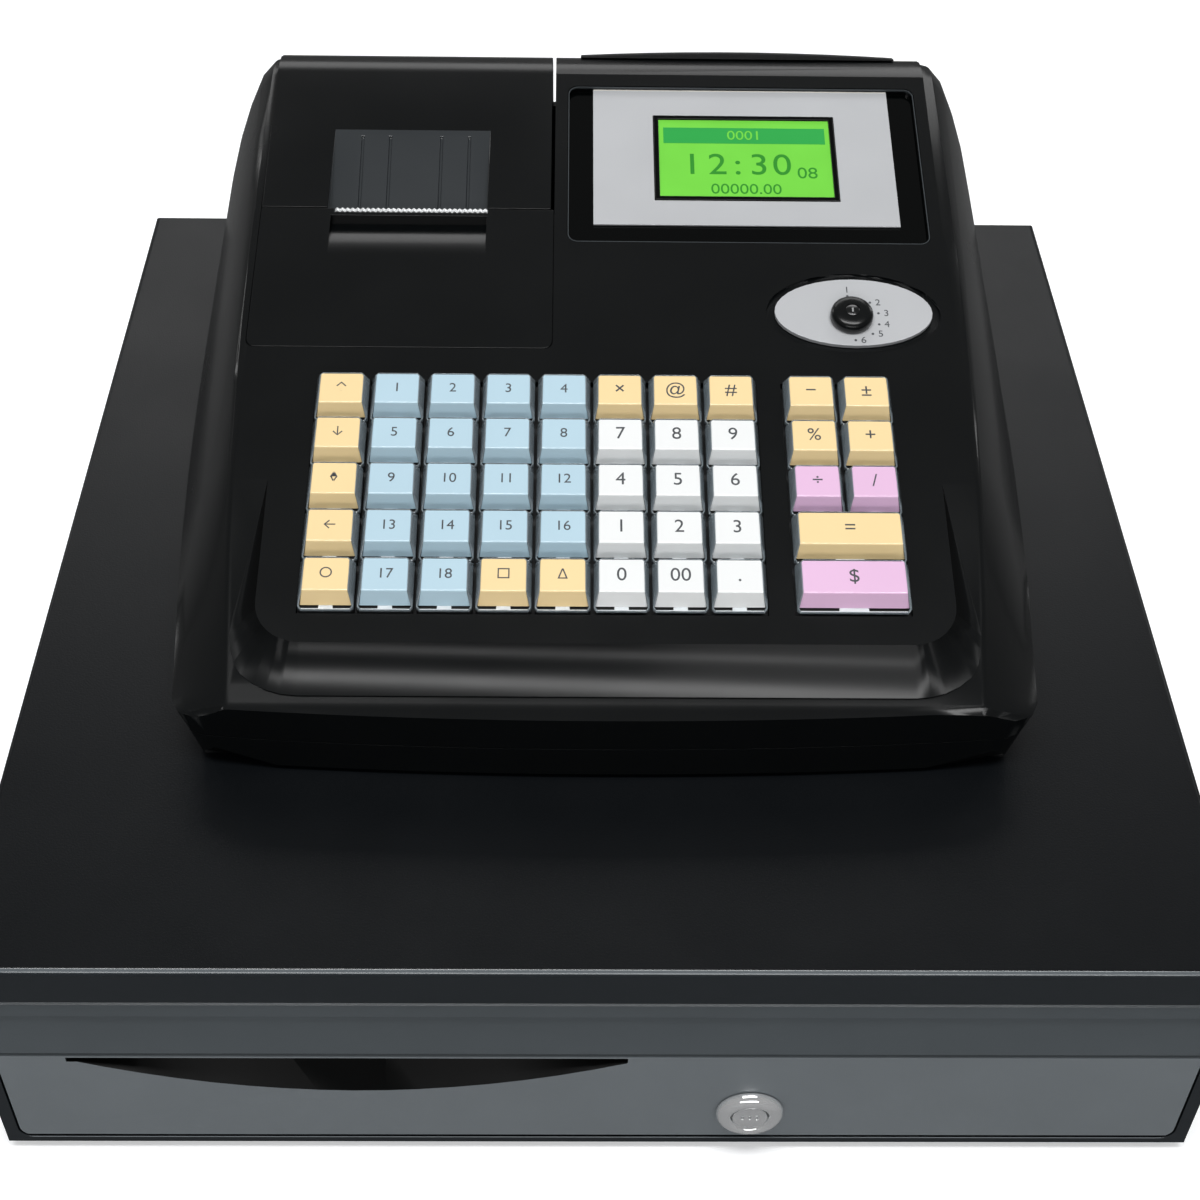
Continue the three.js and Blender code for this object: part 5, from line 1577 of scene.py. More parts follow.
@dataclass
class Cabinet:
    """The steel cabinet, its base with rubber feet, rollers and latch."""

    sheet_rounding: float = 0.7
    # The y and z corners of the band round the top front fold that is painted as a highlight.
    fold_low: Point = (-0.5, 99.95)
    fold_high: Point = (1.6, 100.75)
    sill: float = 3.4
    foot_top: float = 3.9
    screw_radius: float = 3.4
    screw_rise: float = 1.6
    screw_taper: float = 0.7
    screw_slot: float = 0.9
    screw_sides: int = 24
    screw_first: tuple[float, float] = (-150.0, 90.0)
    screw_pitch: tuple[float, float] = (100.0, 120.0)
    screw_columns: int = 4
    screw_rows: int = 3

    def build(self, solids: Solids) -> None:
        """Dress the cabinet and what it holds.

        Args:
            solids: the loaded frame.
        """
        cabinet = solids.dress("drawer_cabinet", CABINET, self.sheet_rounding)
        # The fold is painted as a highlight, and the sill takes the lighter copy of the front.
        share_faces(cabinet, self._part, FOLD.material(), FASCIA.material(), PAINTED_LIT_FRONT.material())
        base = solids.dress("cabinet_base", CABINET, self.sheet_rounding)
        share_faces(base, self._is_foot, RUBBER.material())
        for place in ("cabinet", "drawer"):
            for hand in ("left", "right"):
                solids.dress(f"{place}_roller_{hand}", NYLON, self.sheet_rounding)
        solids.dress("latch_lever", ZINC, self.sheet_rounding)
        solids.dress("latch_solenoid", ZINC, self.sheet_rounding)
        self._screws(solids)

    def _part(self, face: bpy.types.MeshPolygon) -> CabinetPart:
        """Which part of the cabinet a face belongs to.

        Args:
            face: a face of the cabinet.

        Returns:
            The sheet behind the fold, and in front of that the fold, painted as a highlight, the sill at the
            foot, painted with a lighter copy of the front, or the fascia.
        """
        low, high = (row(0.0, *corner) for corner in (self.fold_low, self.fold_high))
        if face.center.y > high.y:
            return CabinetPart.SHEET
        if low.z < face.center.z < high.z:
            return CabinetPart.FOLD
        return CabinetPart.SILL if face.center.z < row(0.0, 0.0, self.sill).z else CabinetPart.FASCIA

    def _is_foot(self, face: bpy.types.MeshPolygon) -> bool:
        """Whether a face of the base belongs to a rubber foot."""
        return face.center.z < mm(self.foot_top)

    def _screws(self, solids: Solids) -> None:
        """Lay the screws that hold the base, heads down.

        Args:
            solids: the loaded frame.
        """
        profile = [(0.0, 0.0), (self.screw_radius, 0.0), (self.screw_radius, self.screw_rise / 2),
                   (self.screw_radius * self.screw_taper, self.screw_rise),
                   (self.screw_slot, self.screw_rise),
                   (self.screw_slot, self.screw_rise / 2), (0.0, self.screw_rise / 2)]
        place = row(*self.screw_first, 0.0)
        shape = put(turned(profile, self.screw_sides), Matrix.Translation(place) @ tilted(math.pi))
        grid = GridTree(self.screw_columns, self.screw_rows, *self.screw_pitch)
        screws = grid.spread(mesh_of(shape, "screw"), ZINC)
        solids.lay(shade(new_piece("base_screws", screws, ZINC)), "cabinet_base")


@dataclass
class Drawer:
    """The drawer: moulded front, pan, till insert and its sprung clips."""

    front_rounding: float = 0.75
    till_rounding: float = 0.6
    pan_rounding: float = 0.4
    clips: int = 4
    slot_left: float = -178.0
    slot_right: float = 10.0
    slot_skin: float = 0.3
    slot_end: float = 14.5
    slot_top: float = 53.4
    scoop_low: float = 33.0
    # Faces in front of this y and above this z are the front's top edge, painted as a highlight.
    edge_back: float = 2.6
    edge_low: float = 81.7

    def build(self, solids: Solids) -> None:
        """Dress what slides with the drawer.

        Args:
            solids: the loaded frame.
        """
        front = solids.dress("drawer_front", FRONT, self.front_rounding)
        # The slot and scoop are painted in shade, the top edge as a highlight, and the face below the slot
        # lighter, as if more lit.
        share_faces(front, self._part, PAINTED_SCOOP_SHADE.material(), FOLD.material(), PAINTED_LIT_FRONT.material())
        solids.dress("drawer_pan", ZINC, self.pan_rounding)
        solids.dress("till_insert", INNER, self.till_rounding)
        solids.dress("clip_rod", STEEL, self.pan_rounding)
        for number in range(1, self.clips + 1):
            solids.dress(f"note_clip_{number}", INNER, self.till_rounding)

    def _part(self, face: bpy.types.MeshPolygon) -> FrontPart:
        """Which part of the drawer front a face belongs to.

        Args:
            face: a face of the drawer front.

        Returns:
            The scoop, painted in shade, the top edge, painted as a highlight, or the face above or below the
            slot's top, the face below it painted lighter as if more lit.
        """
        if self._in_scoop(face.center):
            return FrontPart.SCOOP
        # Faces in front of and over this point are the top edge, painted as a highlight.
        edge = row(0.0, self.edge_back, self.edge_low)
        if face.center.z > edge.z and face.center.y < edge.y:
            return FrontPart.EDGE
        # Below the slot's top the face is painted lighter, as if more lit.
        low = face.center.z < row(0.0, 0.0, self.slot_top).z
        return FrontPart.LOWER_FACE if low else FrontPart.FACE

    def _in_scoop(self, point: Vector) -> bool:
        """Whether a point of the drawer front lies in the slot or in the scoop under it, which are painted in
        shade.

        Args:
            point: a point of the shared frame.

        Returns:
            True between the slot's ends, behind the skin of the front and over the scoop's foot.
        """
        low = row(self.slot_left, self.slot_skin, self.scoop_low)
        high = row(self.slot_right, self.slot_end, self.slot_top)
        return all(low[axis] < point[axis] < high[axis] for axis in range(len(low)))


@dataclass
class Lock:
    """The key lock: a domed chrome ring round a bright barrel with its key slots."""

    centre: Triple = (51.0, 0.0, 21.0)
    ring: tuple[Point, ...] = (
        (8.5, -21.0), (8.5, 0.3), (11.3, 0.3), (11.5, 0.6), (11.5, 1.2), (11.3, 2.0), (10.7, 2.9),
        (9.8, 3.6), (8.9, 3.95), (8.2, 4.0), (7.5, 3.85), (6.9, 3.4), (6.45, 2.7), (6.3, 1.8),
        (6.3, 1.0), (7.3, 1.0), (7.3, -21.0),
    )
    barrel_rounding: float = 0.2

    def build(self, solids: Solids) -> None:
        """Make the ring, and dress the barrel that turns in it.

        Args:
            solids: the loaded frame.
        """
        shape = closed_turn(self.ring)
        facing = Matrix.Translation(row(*self.centre)) @ tilted(QUARTER_TURN)
        piece = shade(new_piece("lock_ring", mesh_of(put(shape, facing), "lock_ring"), CHROME))
        solids.lay(piece, "lock_body", "lock_body")
        solids.dress("lock_barrel", CHROME, self.barrel_rounding)


# Register case, printer, display and mode switch


@dataclass(frozen=True)
class Cove:
    """The hollow band round the key panel, told from the case's flat top by height and slope.

    Attributes:
        finish: the band's own finish.
        zone: where the band lies.
        lip: y and z of the front edge of the case's flat top.
        knee_y: y of the line where the flat top meets the deck's plane.
        slopes: least and greatest slope of the band to the deck, in degrees.
        sag: strength of the hollow.
        reach: twice the way down the band to the hollow's deepest place, the band's foot being one.
        clearance: how far over the flat top the band starts.
    """

    finish: Finish = Finish("satin_black_cove", "090b0c", 0.3, relief=0.04, grain_span=0.4, lacquer=0.05,
                            lacquer_rough=0.15, bend=1.31)
    zone: Zone = Zone((-131.0, -33.0, -5.0), (134.0, 58.0, -0.02))
    lip: Point = (80.0, 130.0)
    knee_y: float = 170.0
    slopes: tuple[float, float] = (9.0, 32.0)
    sag: float = 6.0
    reach: float = 2.2
    clearance: float = 0.15

    def gap(self, y: float) -> float:
        """How far the case's flat top lies under the deck's plane.

        Args:
            y: distance behind the drawer's front face, in millimetres.

        Returns:
            The distance square to the deck, in millimetres.
        """
        deck = Deck()
        rise = math.tan(math.radians(deck.degrees))
        lip_y, lip_z = self.lip
        knee_z = deck.anchor_z + (self.knee_y - deck.anchor_y) * rise
        top = lip_z + (y - lip_y) * (knee_z - lip_z) / (self.knee_y - lip_y)
        return (deck.anchor_z + (y - deck.anchor_y) * rise - top) * math.cos(math.radians(deck.degrees))

    def holds(self, face: bpy.types.MeshPolygon) -> bool:
        """Whether a face of the case belongs to the band.

        Args:
            face: a face of the dressed case.

        Returns:
            True where the face lies in the zone, over the flat top, at the band's slope.
        """
        slope = math.degrees(face.normal.angle(DECK.to_3x3() @ UPWARDS))
        if not (self.slopes[0] < slope < self.slopes[1] and self.zone.holds(face.center)):
            return False
        height = (DECK.inverted() @ face.center).z
        return height > mm(self.clearance - self.gap(face.center.y / MILLIMETRE + ORIGIN_Y))

    def material(self) -> bpy.types.Material:
        """The case's finish with a relief that hollows the band between its two edges.

        Returns:
            The material.
        """
        material = self.finish.material()
        tree = material.node_tree
        place = tree.nodes.new("ShaderNodeSeparateXYZ")
        tree.links.new(tree.nodes.new("ShaderNodeTexCoord").outputs["Object"], place.inputs["Vector"])
        # Height over the deck's plane, and the height of the case's flat top under it, at the same y.
        flat = DECK.inverted()
        up = summed(tree, "MULTIPLY_ADD", place.outputs["Z"], flat[2][2], flat[2][3])
        height = summed(tree, "MULTIPLY_ADD", place.outputs["Y"], flat[2][1], up)
        start = -mm(self.gap(ORIGIN_Y))
        fall = (self.gap(ORIGIN_Y) - self.gap(ORIGIN_Y + 1 / MILLIMETRE)) * MILLIMETRE
        foot = summed(tree, "MULTIPLY_ADD", place.outputs["Y"], fall, start)
        # Nothing at the deck's plane and one at the flat top, with the hollow arching between them.
        share = summed(tree, "DIVIDE", height, foot)
        arch = summed(tree, "MULTIPLY", share, summed(tree, "SUBTRACT", self.reach, share))
        hollow = tree.nodes.new("ShaderNodeBump")
        hollow.inputs["Distance"].default_value = 1.0
        tree.links.new(summed(tree, "MULTIPLY", arch, -mm(self.sag)), hollow.inputs["Height"])
        shader = tree.nodes["Principled BSDF"]
        relief = shader.inputs["Normal"].links[0].from_node
        tree.links.new(hollow.outputs["Normal"], relief.inputs["Normal"])
        return material


@dataclass(frozen=True)
class Bow:
    """The front of the case, which swells forward in the middle and stands straight from lip to seam.

    Attributes:
        front_y: y of the front's middle.
        sweep: how much further back its ends lie.
        half_width: how far to either side it is bowed.
        straight_y: y of the front of the solid that is brought forward.
        full_y: points in front of this go to the bowed front itself.
        still_y: points behind this stay where they are.
        dropped_lip: between these heights a point of the front is lifted to the flat top.
        lip_z: height of the flat top's front edge.
        foot: points in front of this y are moved, and those under this z go down to the front's foot.
        foot_z: height of that foot.
        cuts: strips across the front.
    """

    front_y: float = 80.0
    sweep: float = 4.6
    half_width: float = 127.0
    straight_y: float = 85.0
    full_y: float = 85.9
    still_y: float = 87.2
    dropped_lip: Point = (127.0, 129.5)
    lip_z: float = 130.0
    foot: Point = (88.9, 110.5)
    foot_z: float = 103.0
    cuts: int = 16

    def shape(self, case: bmesh.types.BMesh) -> None:
        """Cut the front of a case into strips and bring it to its bowed outline.

        Args:
            case: the case's shape.
        """
        self._cut(case)
        for corner in case.verts:
            x, y, z = (value / MILLIMETRE for value in corner.co)
            y += ORIGIN_Y
            if y < self.foot[0] and abs(x) < self.half_width:
                corner.co = row(x, self._forward(x, y), self._squared(y, z - FOOT_HEIGHT))

    def _cut(self, case: bmesh.types.BMesh) -> None:
        """Part the front from the rest of the case and cut it across the width.

        Args:
            case: the case's shape.
        """
        edge = row(0.0, self.still_y, 0.0)
        faces = [face for face in case.faces if any(corner.co.y < edge.y for corner in face.verts)]
        self._slice(case, faces, edge, (0.0, 1.0, 0.0))
        limit = edge.y + mm(MERGE)
        for step in range(1, self.cuts):
            x = mm(self.half_width) * (2 * step / self.cuts - 1)
            faces = [face for face in case.faces if all(corner.co.y < limit for corner in face.verts)]
            self._slice(case, faces, Vector((x, 0.0, 0.0)), (1.0, 0.0, 0.0))

    def _slice(self, case: bmesh.types.BMesh, faces: list[bmesh.types.BMFace], place: Vector,
               across: Triple) -> None:
        """Cut some faces of a case with a plane.

        Args:
            case: the case.
            faces: the faces to cut.
            place: a point of the plane.
            across: the direction square to the plane.
        """
        lines = {line for face in faces for line in face.edges}
        ends = {corner for face in faces for corner in face.verts}
        bmesh.ops.bisect_plane(case, geom=[*faces, *lines, *ends], dist=mm(MERGE), plane_co=place,
                               plane_no=across)

    def _squared(self, y: float, z: float) -> float:
        """The height of a point once the lip and the foot of the front are in line.

        Args:
            y: how far back the point lies, in millimetres.
            z: how high it lies, in millimetres.

        Returns:
            The flat top's height at the dropped lip, the foot's height under the foot, and z elsewhere.
        """
        if y < self.full_y and self.dropped_lip[0] < z < self.dropped_lip[1]:
            return self.lip_z
        return self.foot_z if z < self.foot[1] else z

    def _forward(self, x: float, y: float) -> float:
        """How far back a point of the front lies once the front is bowed.

        Args:
            x: how far to the right of the middle the point lies, in millimetres.
            y: how far back it lay, in millimetres.

        Returns:
            The bowed front's own y at the front, and between that and y further back.
        """
        front = self.front_y + self.sweep * (x / self.half_width) ** 2
        if y < self.full_y:
            return front
        return y - (self.straight_y - front) * max(0.0, (self.still_y - y) / (self.still_y - self.full_y))


@dataclass
class Case:
    """The register's lower and upper case and the cap over the display."""

    rounding: float = 0.5
    fine_rounding: float = 0.3
    smooth_degrees: float = 28.0
    panel_zone: Zone = Zone((-125.4, -33.0, -5.5), (128.0, 58.0, 0.6))
    cove: Cove = Cove()
    bow: Bow = Bow()
    fill_low: Triple = (-20.05, 384.5, 118.0)
    fill_high: Triple = (-18.25, 388.0, 182.0)

    def build(self, solids: Solids) -> None:
        """Dress the case, and close the lower end of the seam beside the roll cover.

        Args:
            solids: the loaded frame.
        """
        solids.dress("register_base", CASE, self.rounding, self.smooth_degrees, shaping=self.bow.shape)
        top = solids.dress("register_top", CASE, self.rounding, self.smooth_degrees, self.panel_zone,
                           self.bow.shape, DECK)
        share_faces(top, self.cove.holds, self.cove.material())
        solids.dress("display_cap", CASE, self.fine_rounding, self.smooth_degrees)
        corners = [row(*corner) for corner in (self.fill_low, self.fill_high)]
        fill = new_piece("seam_fill", mesh_of(block(*corners), "seam_fill"), INNER)
        solids.lay(fill, "register_top")


@dataclass
class Printer:
    """The receipt printer: covers, tear bar, paper roll, platen and print head."""

    rounding: float = 0.4
    cover_rounding: float = 0.6
    smooth_degrees: float = 28.0
    recess: Zone = Zone((-107.0, 182.0, -9.0), (-43.8, 226.0, -0.3))

    def build(self, solids: Solids) -> None:
        """Dress the printer's pieces.

        Args:
            solids: the loaded frame.
        """
        solids.dress("printer_cover", CASE, self.cover_rounding, self.smooth_degrees)
        cover = solids.dress("roll_cover", CASE, self.rounding, self.smooth_degrees)
        # The ribbed recess is painted lighter, as a reflection.
        share_faces(cover, self._is_ribbed, PAINTED_RECESS_REFLECTION.material())
        solids.dress("tear_bar", STEEL, self.rounding / 2)
        solids.dress("printer_frame", INNER, self.rounding)
        solids.dress("paper_roll", PAPER, self.rounding)
        solids.dress("platen_roller", RUBBER, self.rounding / 2)
        solids.dress("print_head", ZINC, self.rounding)
        solids.dress("roll_cover_pin", ZINC, self.rounding)

    def _is_ribbed(self, face: bpy.types.MeshPolygon) -> bool:
        """Whether a face of the roll cover lies in its ribbed recess, which is painted lighter as a
        reflection.
        """
        return self.recess.holds(face.center)


class ScreenPart(IntEnum):
    """The material slots of the lit screen."""

    SHEET = 0
    BAR = 1
    DIGITS = 2


@dataclass
class Display:
    """The display: black window with a painted highlight round its recess, silver plate with a painted
    highlight along its rear edge, and a lit green screen.

    Sizes are in deck millimetres.
    """

    left: float = 23.3
    right: float = 92.1
    front: float = 192.1
    rear: float = 234.1
    floor: float = -2.1
    sheet: float = 0.08
    print_rise: float = 0.05
    bar_margin: float = 1.9
    bar_drop: float = 4.3
    bar_height: float = 8.6
    clock_size: float = 16.0
    clock_places: tuple[tuple[str, float], ...] = (
        ("1", 36.4), ("2", 46.5), (":", 54.6), ("3", 63.1), ("0", 72.3),
    )
    clock_along: float = 209.3
    bar_size: float = 7.0
    seconds_size: float = 8.4
    seconds_centre: Point = (82.2, 205.2)
    sum_size: float = 7.6
    sum_centre: Point = (57.5, 196.4)
    plate_span: tuple[float, float] = (-2.8, 116.7)
    plate_rear: float = 250.55
    # The strip along the plate's rear edge that is painted as a highlight: its depth and heights.
    edge_depth: float = 0.7
    edge_low: float = -1.75
    edge_high: float = -1.52
    rounding: float = 0.25
    window: tuple[float, float, float, float] = (-13.0, 127.5, 166.8, 250.6)
    window_radius: float = 4.0
    # The painted highlight round the window's recess: its width and heights.
    rim_width: float = 0.35
    rim_low: float = -0.9
    rim_high: float = -0.2

    def build(self, solids: Solids) -> None:
        """Dress the window and the plate, lay the lit screen in its border, and lay the painted highlights
        round the window's recess and along the plate's rear edge.

        Args:
            solids: the loaded frame.
        """
        solids.dress("display_window", WINDOW, self.rounding)
        solids.dress("display_plate", SILVER, self.rounding / 2)
        solids.dress("display_panel", WINDOW, self.rounding)
        self._lay_screen(solids)
        self._lay_rim(solids)
        # A strip along the plate's rear edge, painted as a highlight.
        low, high = self.plate_span
        outline = rectangle(low, high, self.plate_rear - self.edge_depth, self.plate_rear)
        edge = mesh_of(put(prism(outline, self.edge_low, self.edge_high), DECK), "plate_edge_highlight")
        solids.lay(new_piece("plate_edge_highlight", edge, PLATE_EDGE_HIGHLIGHT), "display_plate")

    def _lay_rim(self, solids: Solids) -> None:
        """Lay the painted highlight: a fine light line that runs round the edge of the window's recess.

        Args:
            solids: the loaded frame.
        """
        left, right, front, rear = self.window
        line = self.rim_width
        outer = rounded(left, right, front, rear, self.window_radius)
        inner = rounded(left + line, right - line, front + line, rear - line, self.window_radius - line)
        section = ((outer, self.rim_low), (outer, self.rim_high),
                   (inner, self.rim_high), (inner, self.rim_low))
        shape = bmesh.new()
        join_rings(shape, [level_ring(shape, outline, height) for outline, height in section])
        rim = mesh_of(put(shape, DECK), "window_rim_highlight")
        solids.lay(new_piece("window_rim_highlight", rim, RIM_HIGHLIGHT), "display_window")

    def _lay_screen(self, solids: Solids) -> None:
        """Lay the green sheet, its darker bar and its digits.

        Args:
            solids: the loaded frame.
        """
        top = self.floor + self.sheet
        sheet = prism(rounded(self.left, self.right, self.front, self.rear, self.sheet, 1), self.floor, top)
        bar_top = self.rear - self.bar_drop
        outline = rounded(self.left + self.bar_margin, self.right - self.bar_margin,
                          bar_top - self.bar_height, bar_top, self.sheet, 1)
        bar = prism(outline, self.floor, top + self.print_rise)
        digits = [lettering(sign, self.clock_size, (place, self.clock_along), top, self.print_rise)
                  for sign, place in self.clock_places]
        digits.append(lettering("08", self.seconds_size, self.seconds_centre, top, self.print_rise))
        digits.append(lettering("00000.00", self.sum_size, self.sum_centre, top, self.print_rise))
        middle = (self.left + self.right) / 2, bar_top - self.bar_height / 2
        count = lettering("0001", self.bar_size, middle, top + self.print_rise, self.print_rise)
        parts = [painted(sheet, ScreenPart.SHEET), painted(bar, ScreenPart.BAR),
                 painted(count, ScreenPart.SHEET), *(painted(print_, ScreenPart.DIGITS) for print_ in digits)]
        mesh = kept_mesh(put(merged(parts), DECK), "lit_screen")
        solids.lay(new_piece("lit_screen", mesh, SCREEN, SCREEN_BAR, SCREEN_INK), "display_panel")


class KnobPart(IntEnum):
    """The material slots of the mode knob."""

    KNOB = 0
    PLUG = 1
    SLOT = 2


@dataclass
class ModeSwitch:
    """The mode switch: an oval silver plate with numbered dots and a domed knob for its key."""

    knob_centre: Point = (93.8, 128.9)
    knob_foot: float = 1.1
    knob: tuple[Point, ...] = (
        (0.0, -12.0), (4.0, -12.0), (4.0, 0.0), (7.9, 0.0), (8.0, 0.2), (8.0, 2.2), (7.8, 3.0),
        (7.2, 3.7), (6.2, 4.2), (4.6, 4.45), (2.9, 4.5), (2.9, 4.2), (0.0, 4.2),
    )
    plug: tuple[Point, ...] = ((0.0, 4.0), (2.6, 4.0), (2.6, 4.4), (2.3, 4.6), (0.0, 4.6))
    slot_half_width: float = 0.3
    slot_half_length: float = 1.0
    slot_low: float = 4.45
    slot_high: float = 4.61
    plate_top: float = 0.8
    dot_ring: float = 10.7
    dot_radius: float = 0.5
    dot_sides: int = 16
    dot_degrees: tuple[float, ...] = (94.0, 45.0, 13.0, -16.0, -45.0, -85.0)
    number_step: float = 3.0
    number_size: float = 4.2
    print_rise: float = 0.05
    rounding: float = 0.3

    def build(self, solids: Solids) -> None:
        """Make the plate's print and the knob.

        Args:
            solids: the loaded frame.
        """
        solids.dress("mode_plate", SILVER, self.rounding)
        prints = [put(print_, self._centre(0.0)) for print_ in self._prints()]
        mesh = mesh_of(put(merged(prints), DECK), "mode_numbers")
        solids.lay(new_piece("mode_numbers", mesh, INK), "mode_plate")
        wide, long = self.slot_half_width, self.slot_half_length
        slot = prism(rectangle(-wide, wide, -long, long), self.slot_low, self.slot_high)
        shape = merged([painted(turned(self.knob), KnobPart.KNOB), painted(turned(self.plug), KnobPart.PLUG),
                        painted(slot, KnobPart.SLOT)])
        mesh = kept_mesh(put(shape, DECK @ self._centre(self.knob_foot)), "mode_knob")
        solids.lay(shade(new_piece("mode_knob", mesh, CASE, PANEL, CHROME)), "mode_switch", "mode_switch")

    def _centre(self, height: float) -> Matrix:
        """The way from the deck's own middle to the knob's axis, at a height in millimetres."""
        return Matrix.Translation((mm(self.knob_centre[0]), mm(self.knob_centre[1]), mm(height)))

    def _prints(self) -> list[bmesh.types.BMesh]:
        """The dots and numbers round the knob.

        Returns:
            The shape of each dot and number, round the knob's axis.
        """
        prints = []
        for number, degrees in enumerate(self.dot_degrees, start=1):
            turn = math.radians(degrees)
            across, along = math.cos(turn), math.sin(turn)
            dot = disc((self.dot_ring * across, self.dot_ring * along), self.dot_radius, self.dot_sides)
            prints.append(prism(dot, self.plate_top, self.plate_top + self.print_rise))
            centre = (self.dot_ring * across + self.number_step, self.dot_ring * along)
            if number == 1:
                centre = (self.dot_ring * across, self.dot_ring * along + self.number_step)
            prints.append(lettering(str(number), self.number_size, centre, self.plate_top, self.print_rise))
        return prints


@dataclass
class Board:
    """The main board: green sheet, black parts and rows of tinned pins."""

    top: float = 111.1
    rounding: float = 0.2
    processor: Point = (10.0, 236.0)
    processor_half: float = 13.0
    pin_width: float = 0.8
    pin_length: float = 2.4
    pin_height: float = 0.5
    pins: int = 12
    pin_rows: int = 2
    pin_pitch: float = 2.0

    def build(self, solids: Solids) -> None:
        """Dress the board and set pins along two sides of its largest part.

        Args:
            solids: the loaded frame.
        """
        piece = solids.dress("main_board", BOARD, self.rounding)
        share_faces(piece, self._is_chip, CHIP.material())
        left = self.processor[0] - self.pin_pitch * (self.pins - 1) / 2
        front = self.processor[1] - self.processor_half - self.pin_length
        outline = rectangle(left, left + self.pin_width, front, front + self.pin_length)
        foot = self.top + self.pin_height
        shape = put(prism(outline, foot, foot + self.pin_height), Matrix.Translation(row(0.0, 0.0, 0.0)))
        across = self.processor_half + self.processor_half + self.pin_length
        grid = GridTree(self.pins, self.pin_rows, self.pin_pitch, across)
        pins = grid.spread(mesh_of(shape, "pin"), SOLDER)
        solids.lay(new_piece("board_pins", pins, SOLDER), "main_board")

    def _is_chip(self, face: bpy.types.MeshPolygon) -> bool:
        """Whether a face of the board belongs to a part that stands on it."""
        return face.center.z > row(0.0, 0.0, self.top + self.rounding).z


# Room


@dataclass(frozen=True)
class Lamp:
    """A soft box: where it hangs, what it points at, its size and its strength."""

    name: str
    place: Triple
    target: Triple
    width: float
    height: float
    watts: float


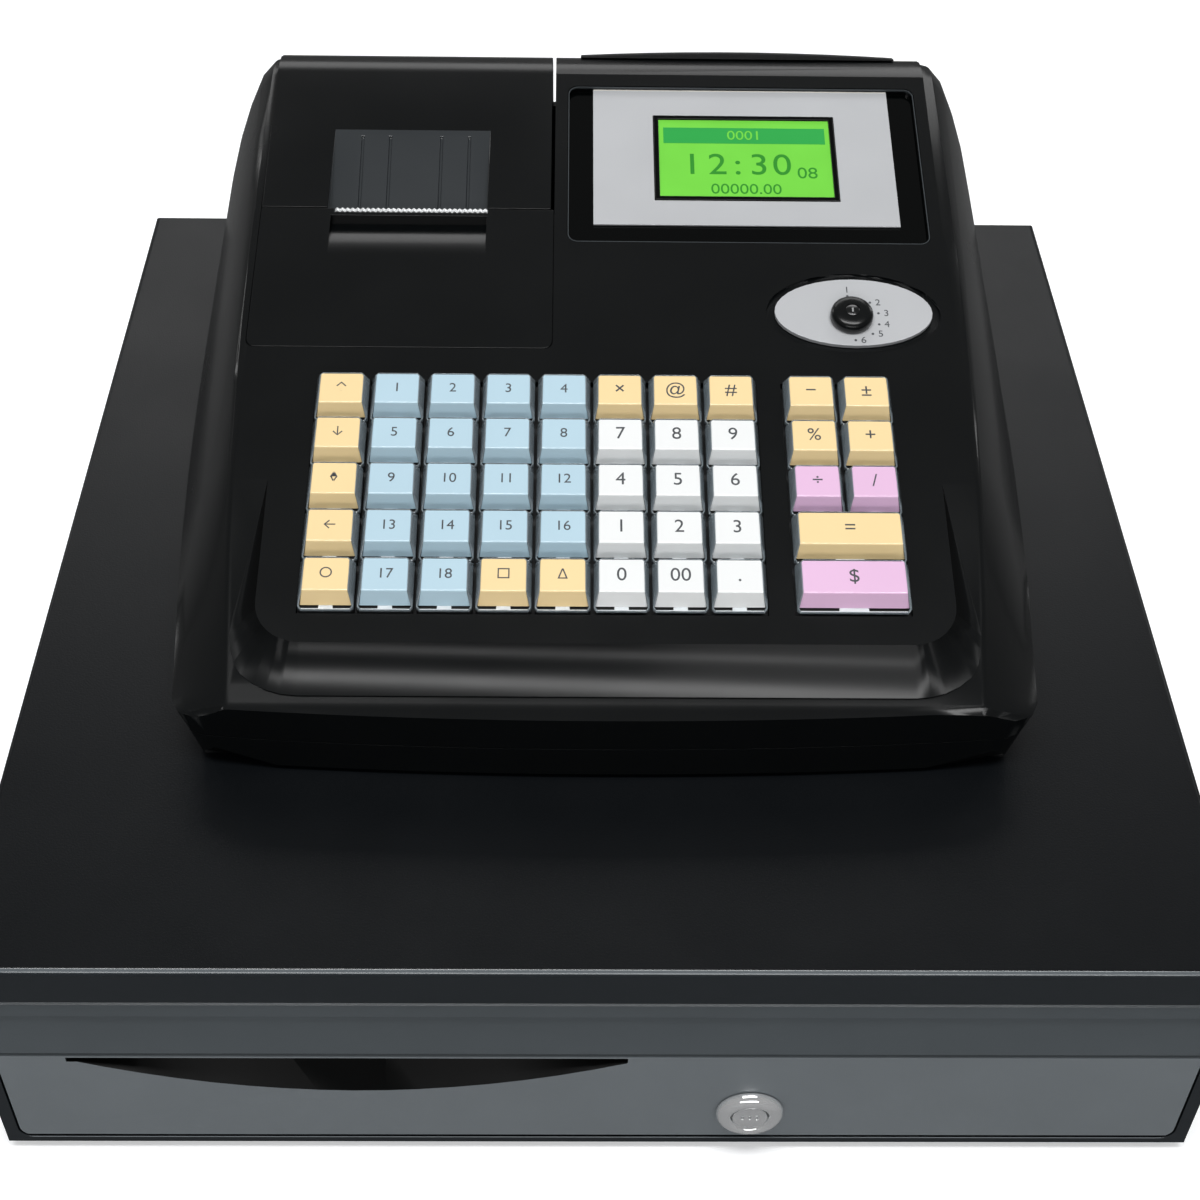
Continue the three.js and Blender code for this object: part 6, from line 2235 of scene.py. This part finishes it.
@dataclass
class Studio:
    """The floor, the lamps and the camera at the photograph's angle."""

    floor_reach: float = 12.0
    floor_lift: float = 0.45
    mirror_loss: float = 0.82
    sky_colour: str = "ffffff"
    sky_strength: float = 0.17
    camera_place: Triple = (-0.011337, -0.563526, 0.614269)
    camera_yaw: float = 1.23934
    camera_pitch: float = 44.298
    camera_roll: float = 1.19283
    lens: float = 58.47
    film: float = 36.0
    lamps: tuple[Lamp, ...] = (
        Lamp("top_lamp", (0.0, -0.42, 2.0), (0.0, -0.1, 0.1), 1.6, 0.55, 30.0),
        Lamp("left_lamp", (-1.6, 1.5, 0.9), (0.0, 0.1, 0.12), 0.4, 0.8, 3.0),
        Lamp("right_lamp", (1.6, 1.5, 0.9), (0.0, 0.1, 0.12), 0.4, 0.8, 3.0),
        Lamp("front_lamp", (0.0, -1.9, 0.9), (0.0, 0.0, 0.1), 1.6, 0.4, 9.0),
        Lamp("back_lamp", (0.0, 2.3, 1.7), (0.0, 0.15, 0.2), 2.4, 0.8, 14.0),
    )

    def build(self) -> None:
        """Set up the room."""
        self._floor()
        self._sky()
        for lamp in self.lamps:
            self._hang(lamp)
        self._camera()

    def _floor(self) -> None:
        """Lay a plain pale floor under the register."""
        reach = self.floor_reach
        mesh = bpy.data.meshes.new("floor")
        corners = [(-reach, -reach, 0.0), (reach, -reach, 0.0), (reach, reach, 0.0), (-reach, reach, 0.0)]
        mesh.from_pydata(corners, [], [tuple(range(len(corners)))])
        floor = new_piece("floor", mesh, FLOOR)
        self._lift(floor.data.materials[0])

    def _lift(self, material: bpy.types.Material) -> None:
        """Make the floor paler where it is seen, and greyer where it is mirrored.

        Args:
            material: the floor's material.
        """
        tree = material.node_tree
        path = tree.nodes.new("ShaderNodeLightPath").outputs
        shader = tree.nodes["Principled BSDF"]
        seen = summed(tree, "MAXIMUM", path["Is Camera Ray"], path["Is Transmission Ray"])
        tree.links.new(summed(tree, "MULTIPLY", seen, self.floor_lift), shader.inputs["Emission Strength"])
        dim = tree.nodes.new("ShaderNodeHueSaturation")
        tree.links.new(shader.inputs["Base Color"].links[0].from_socket, dim.inputs["Color"])
        loss = summed(tree, "MULTIPLY_ADD", path["Is Glossy Ray"], -self.mirror_loss, 1.0)
        tree.links.new(loss, dim.inputs["Value"])
        tree.links.new(dim.outputs["Color"], shader.inputs["Base Color"])

    def _sky(self) -> None:
        """Fill the room with an even light."""
        world = bpy.data.worlds.new("room")
        world.use_nodes = True
        light = world.node_tree.nodes["Background"]
        light.inputs["Color"].default_value = (*linear(self.sky_colour), 1.0)
        light.inputs["Strength"].default_value = self.sky_strength
        bpy.context.scene.world = world

    def _hang(self, lamp: Lamp) -> None:
        """Hang one soft box and turn it to its target.

        Args:
            lamp: the soft box.
        """
        light = bpy.data.lights.new(lamp.name, "AREA")
        light.shape = "RECTANGLE"
        light.size = lamp.width
        light.size_y = lamp.height
        light.energy = lamp.watts
        holder = bpy.data.objects.new(lamp.name, light)
        place = Vector(lamp.place)
        holder.location = place
        holder.rotation_euler = (Vector(lamp.target) - place).to_track_quat("-Z", "Y").to_euler()
        holder.visible_camera = False
        bpy.context.scene.collection.objects.link(holder)

    def _camera(self) -> None:
        """Stand the camera where the photograph was taken from."""
        yaw, pitch, roll = (math.radians(a) for a in (self.camera_yaw, self.camera_pitch, self.camera_roll))
        forward = Vector((math.sin(yaw) * math.cos(pitch), math.cos(yaw) * math.cos(pitch), -math.sin(pitch)))
        level = Vector((math.cos(yaw), -math.sin(yaw), 0.0))
        lift = level.cross(forward)
        right = level * math.cos(roll) + lift * math.sin(roll)
        up = lift * math.cos(roll) - level * math.sin(roll)
        camera = bpy.data.cameras.new("camera")
        camera.lens = self.lens
        camera.sensor_width = self.film
        camera.sensor_height = self.film
        camera.sensor_fit = "HORIZONTAL"
        holder = bpy.data.objects.new("camera", camera)
        axes = Matrix((right, up, -forward)).transposed().to_4x4()
        holder.matrix_world = Matrix.Translation(self.camera_place) @ axes
        bpy.context.scene.collection.objects.link(holder)
        bpy.context.scene.camera = holder
        bpy.context.scene.view_settings.view_transform = "Standard"


def main() -> None:
    """Load the frame, dress the register from the drawer up, and set up the room."""
    logging.basicConfig(level=logging.INFO, format="%(message)s")
    solids = Solids(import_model())
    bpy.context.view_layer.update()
    assemblies = (Cabinet(), Drawer(), Lock(), Case(), Printer(), Display(), ModeSwitch(), Board(),
                  Keyboard())
    for assembly in assemblies:
        assembly.build(solids)
        log.info("%s finished", type(assembly).__name__)
    Studio().build()


if __name__ == "__main__":
    main()
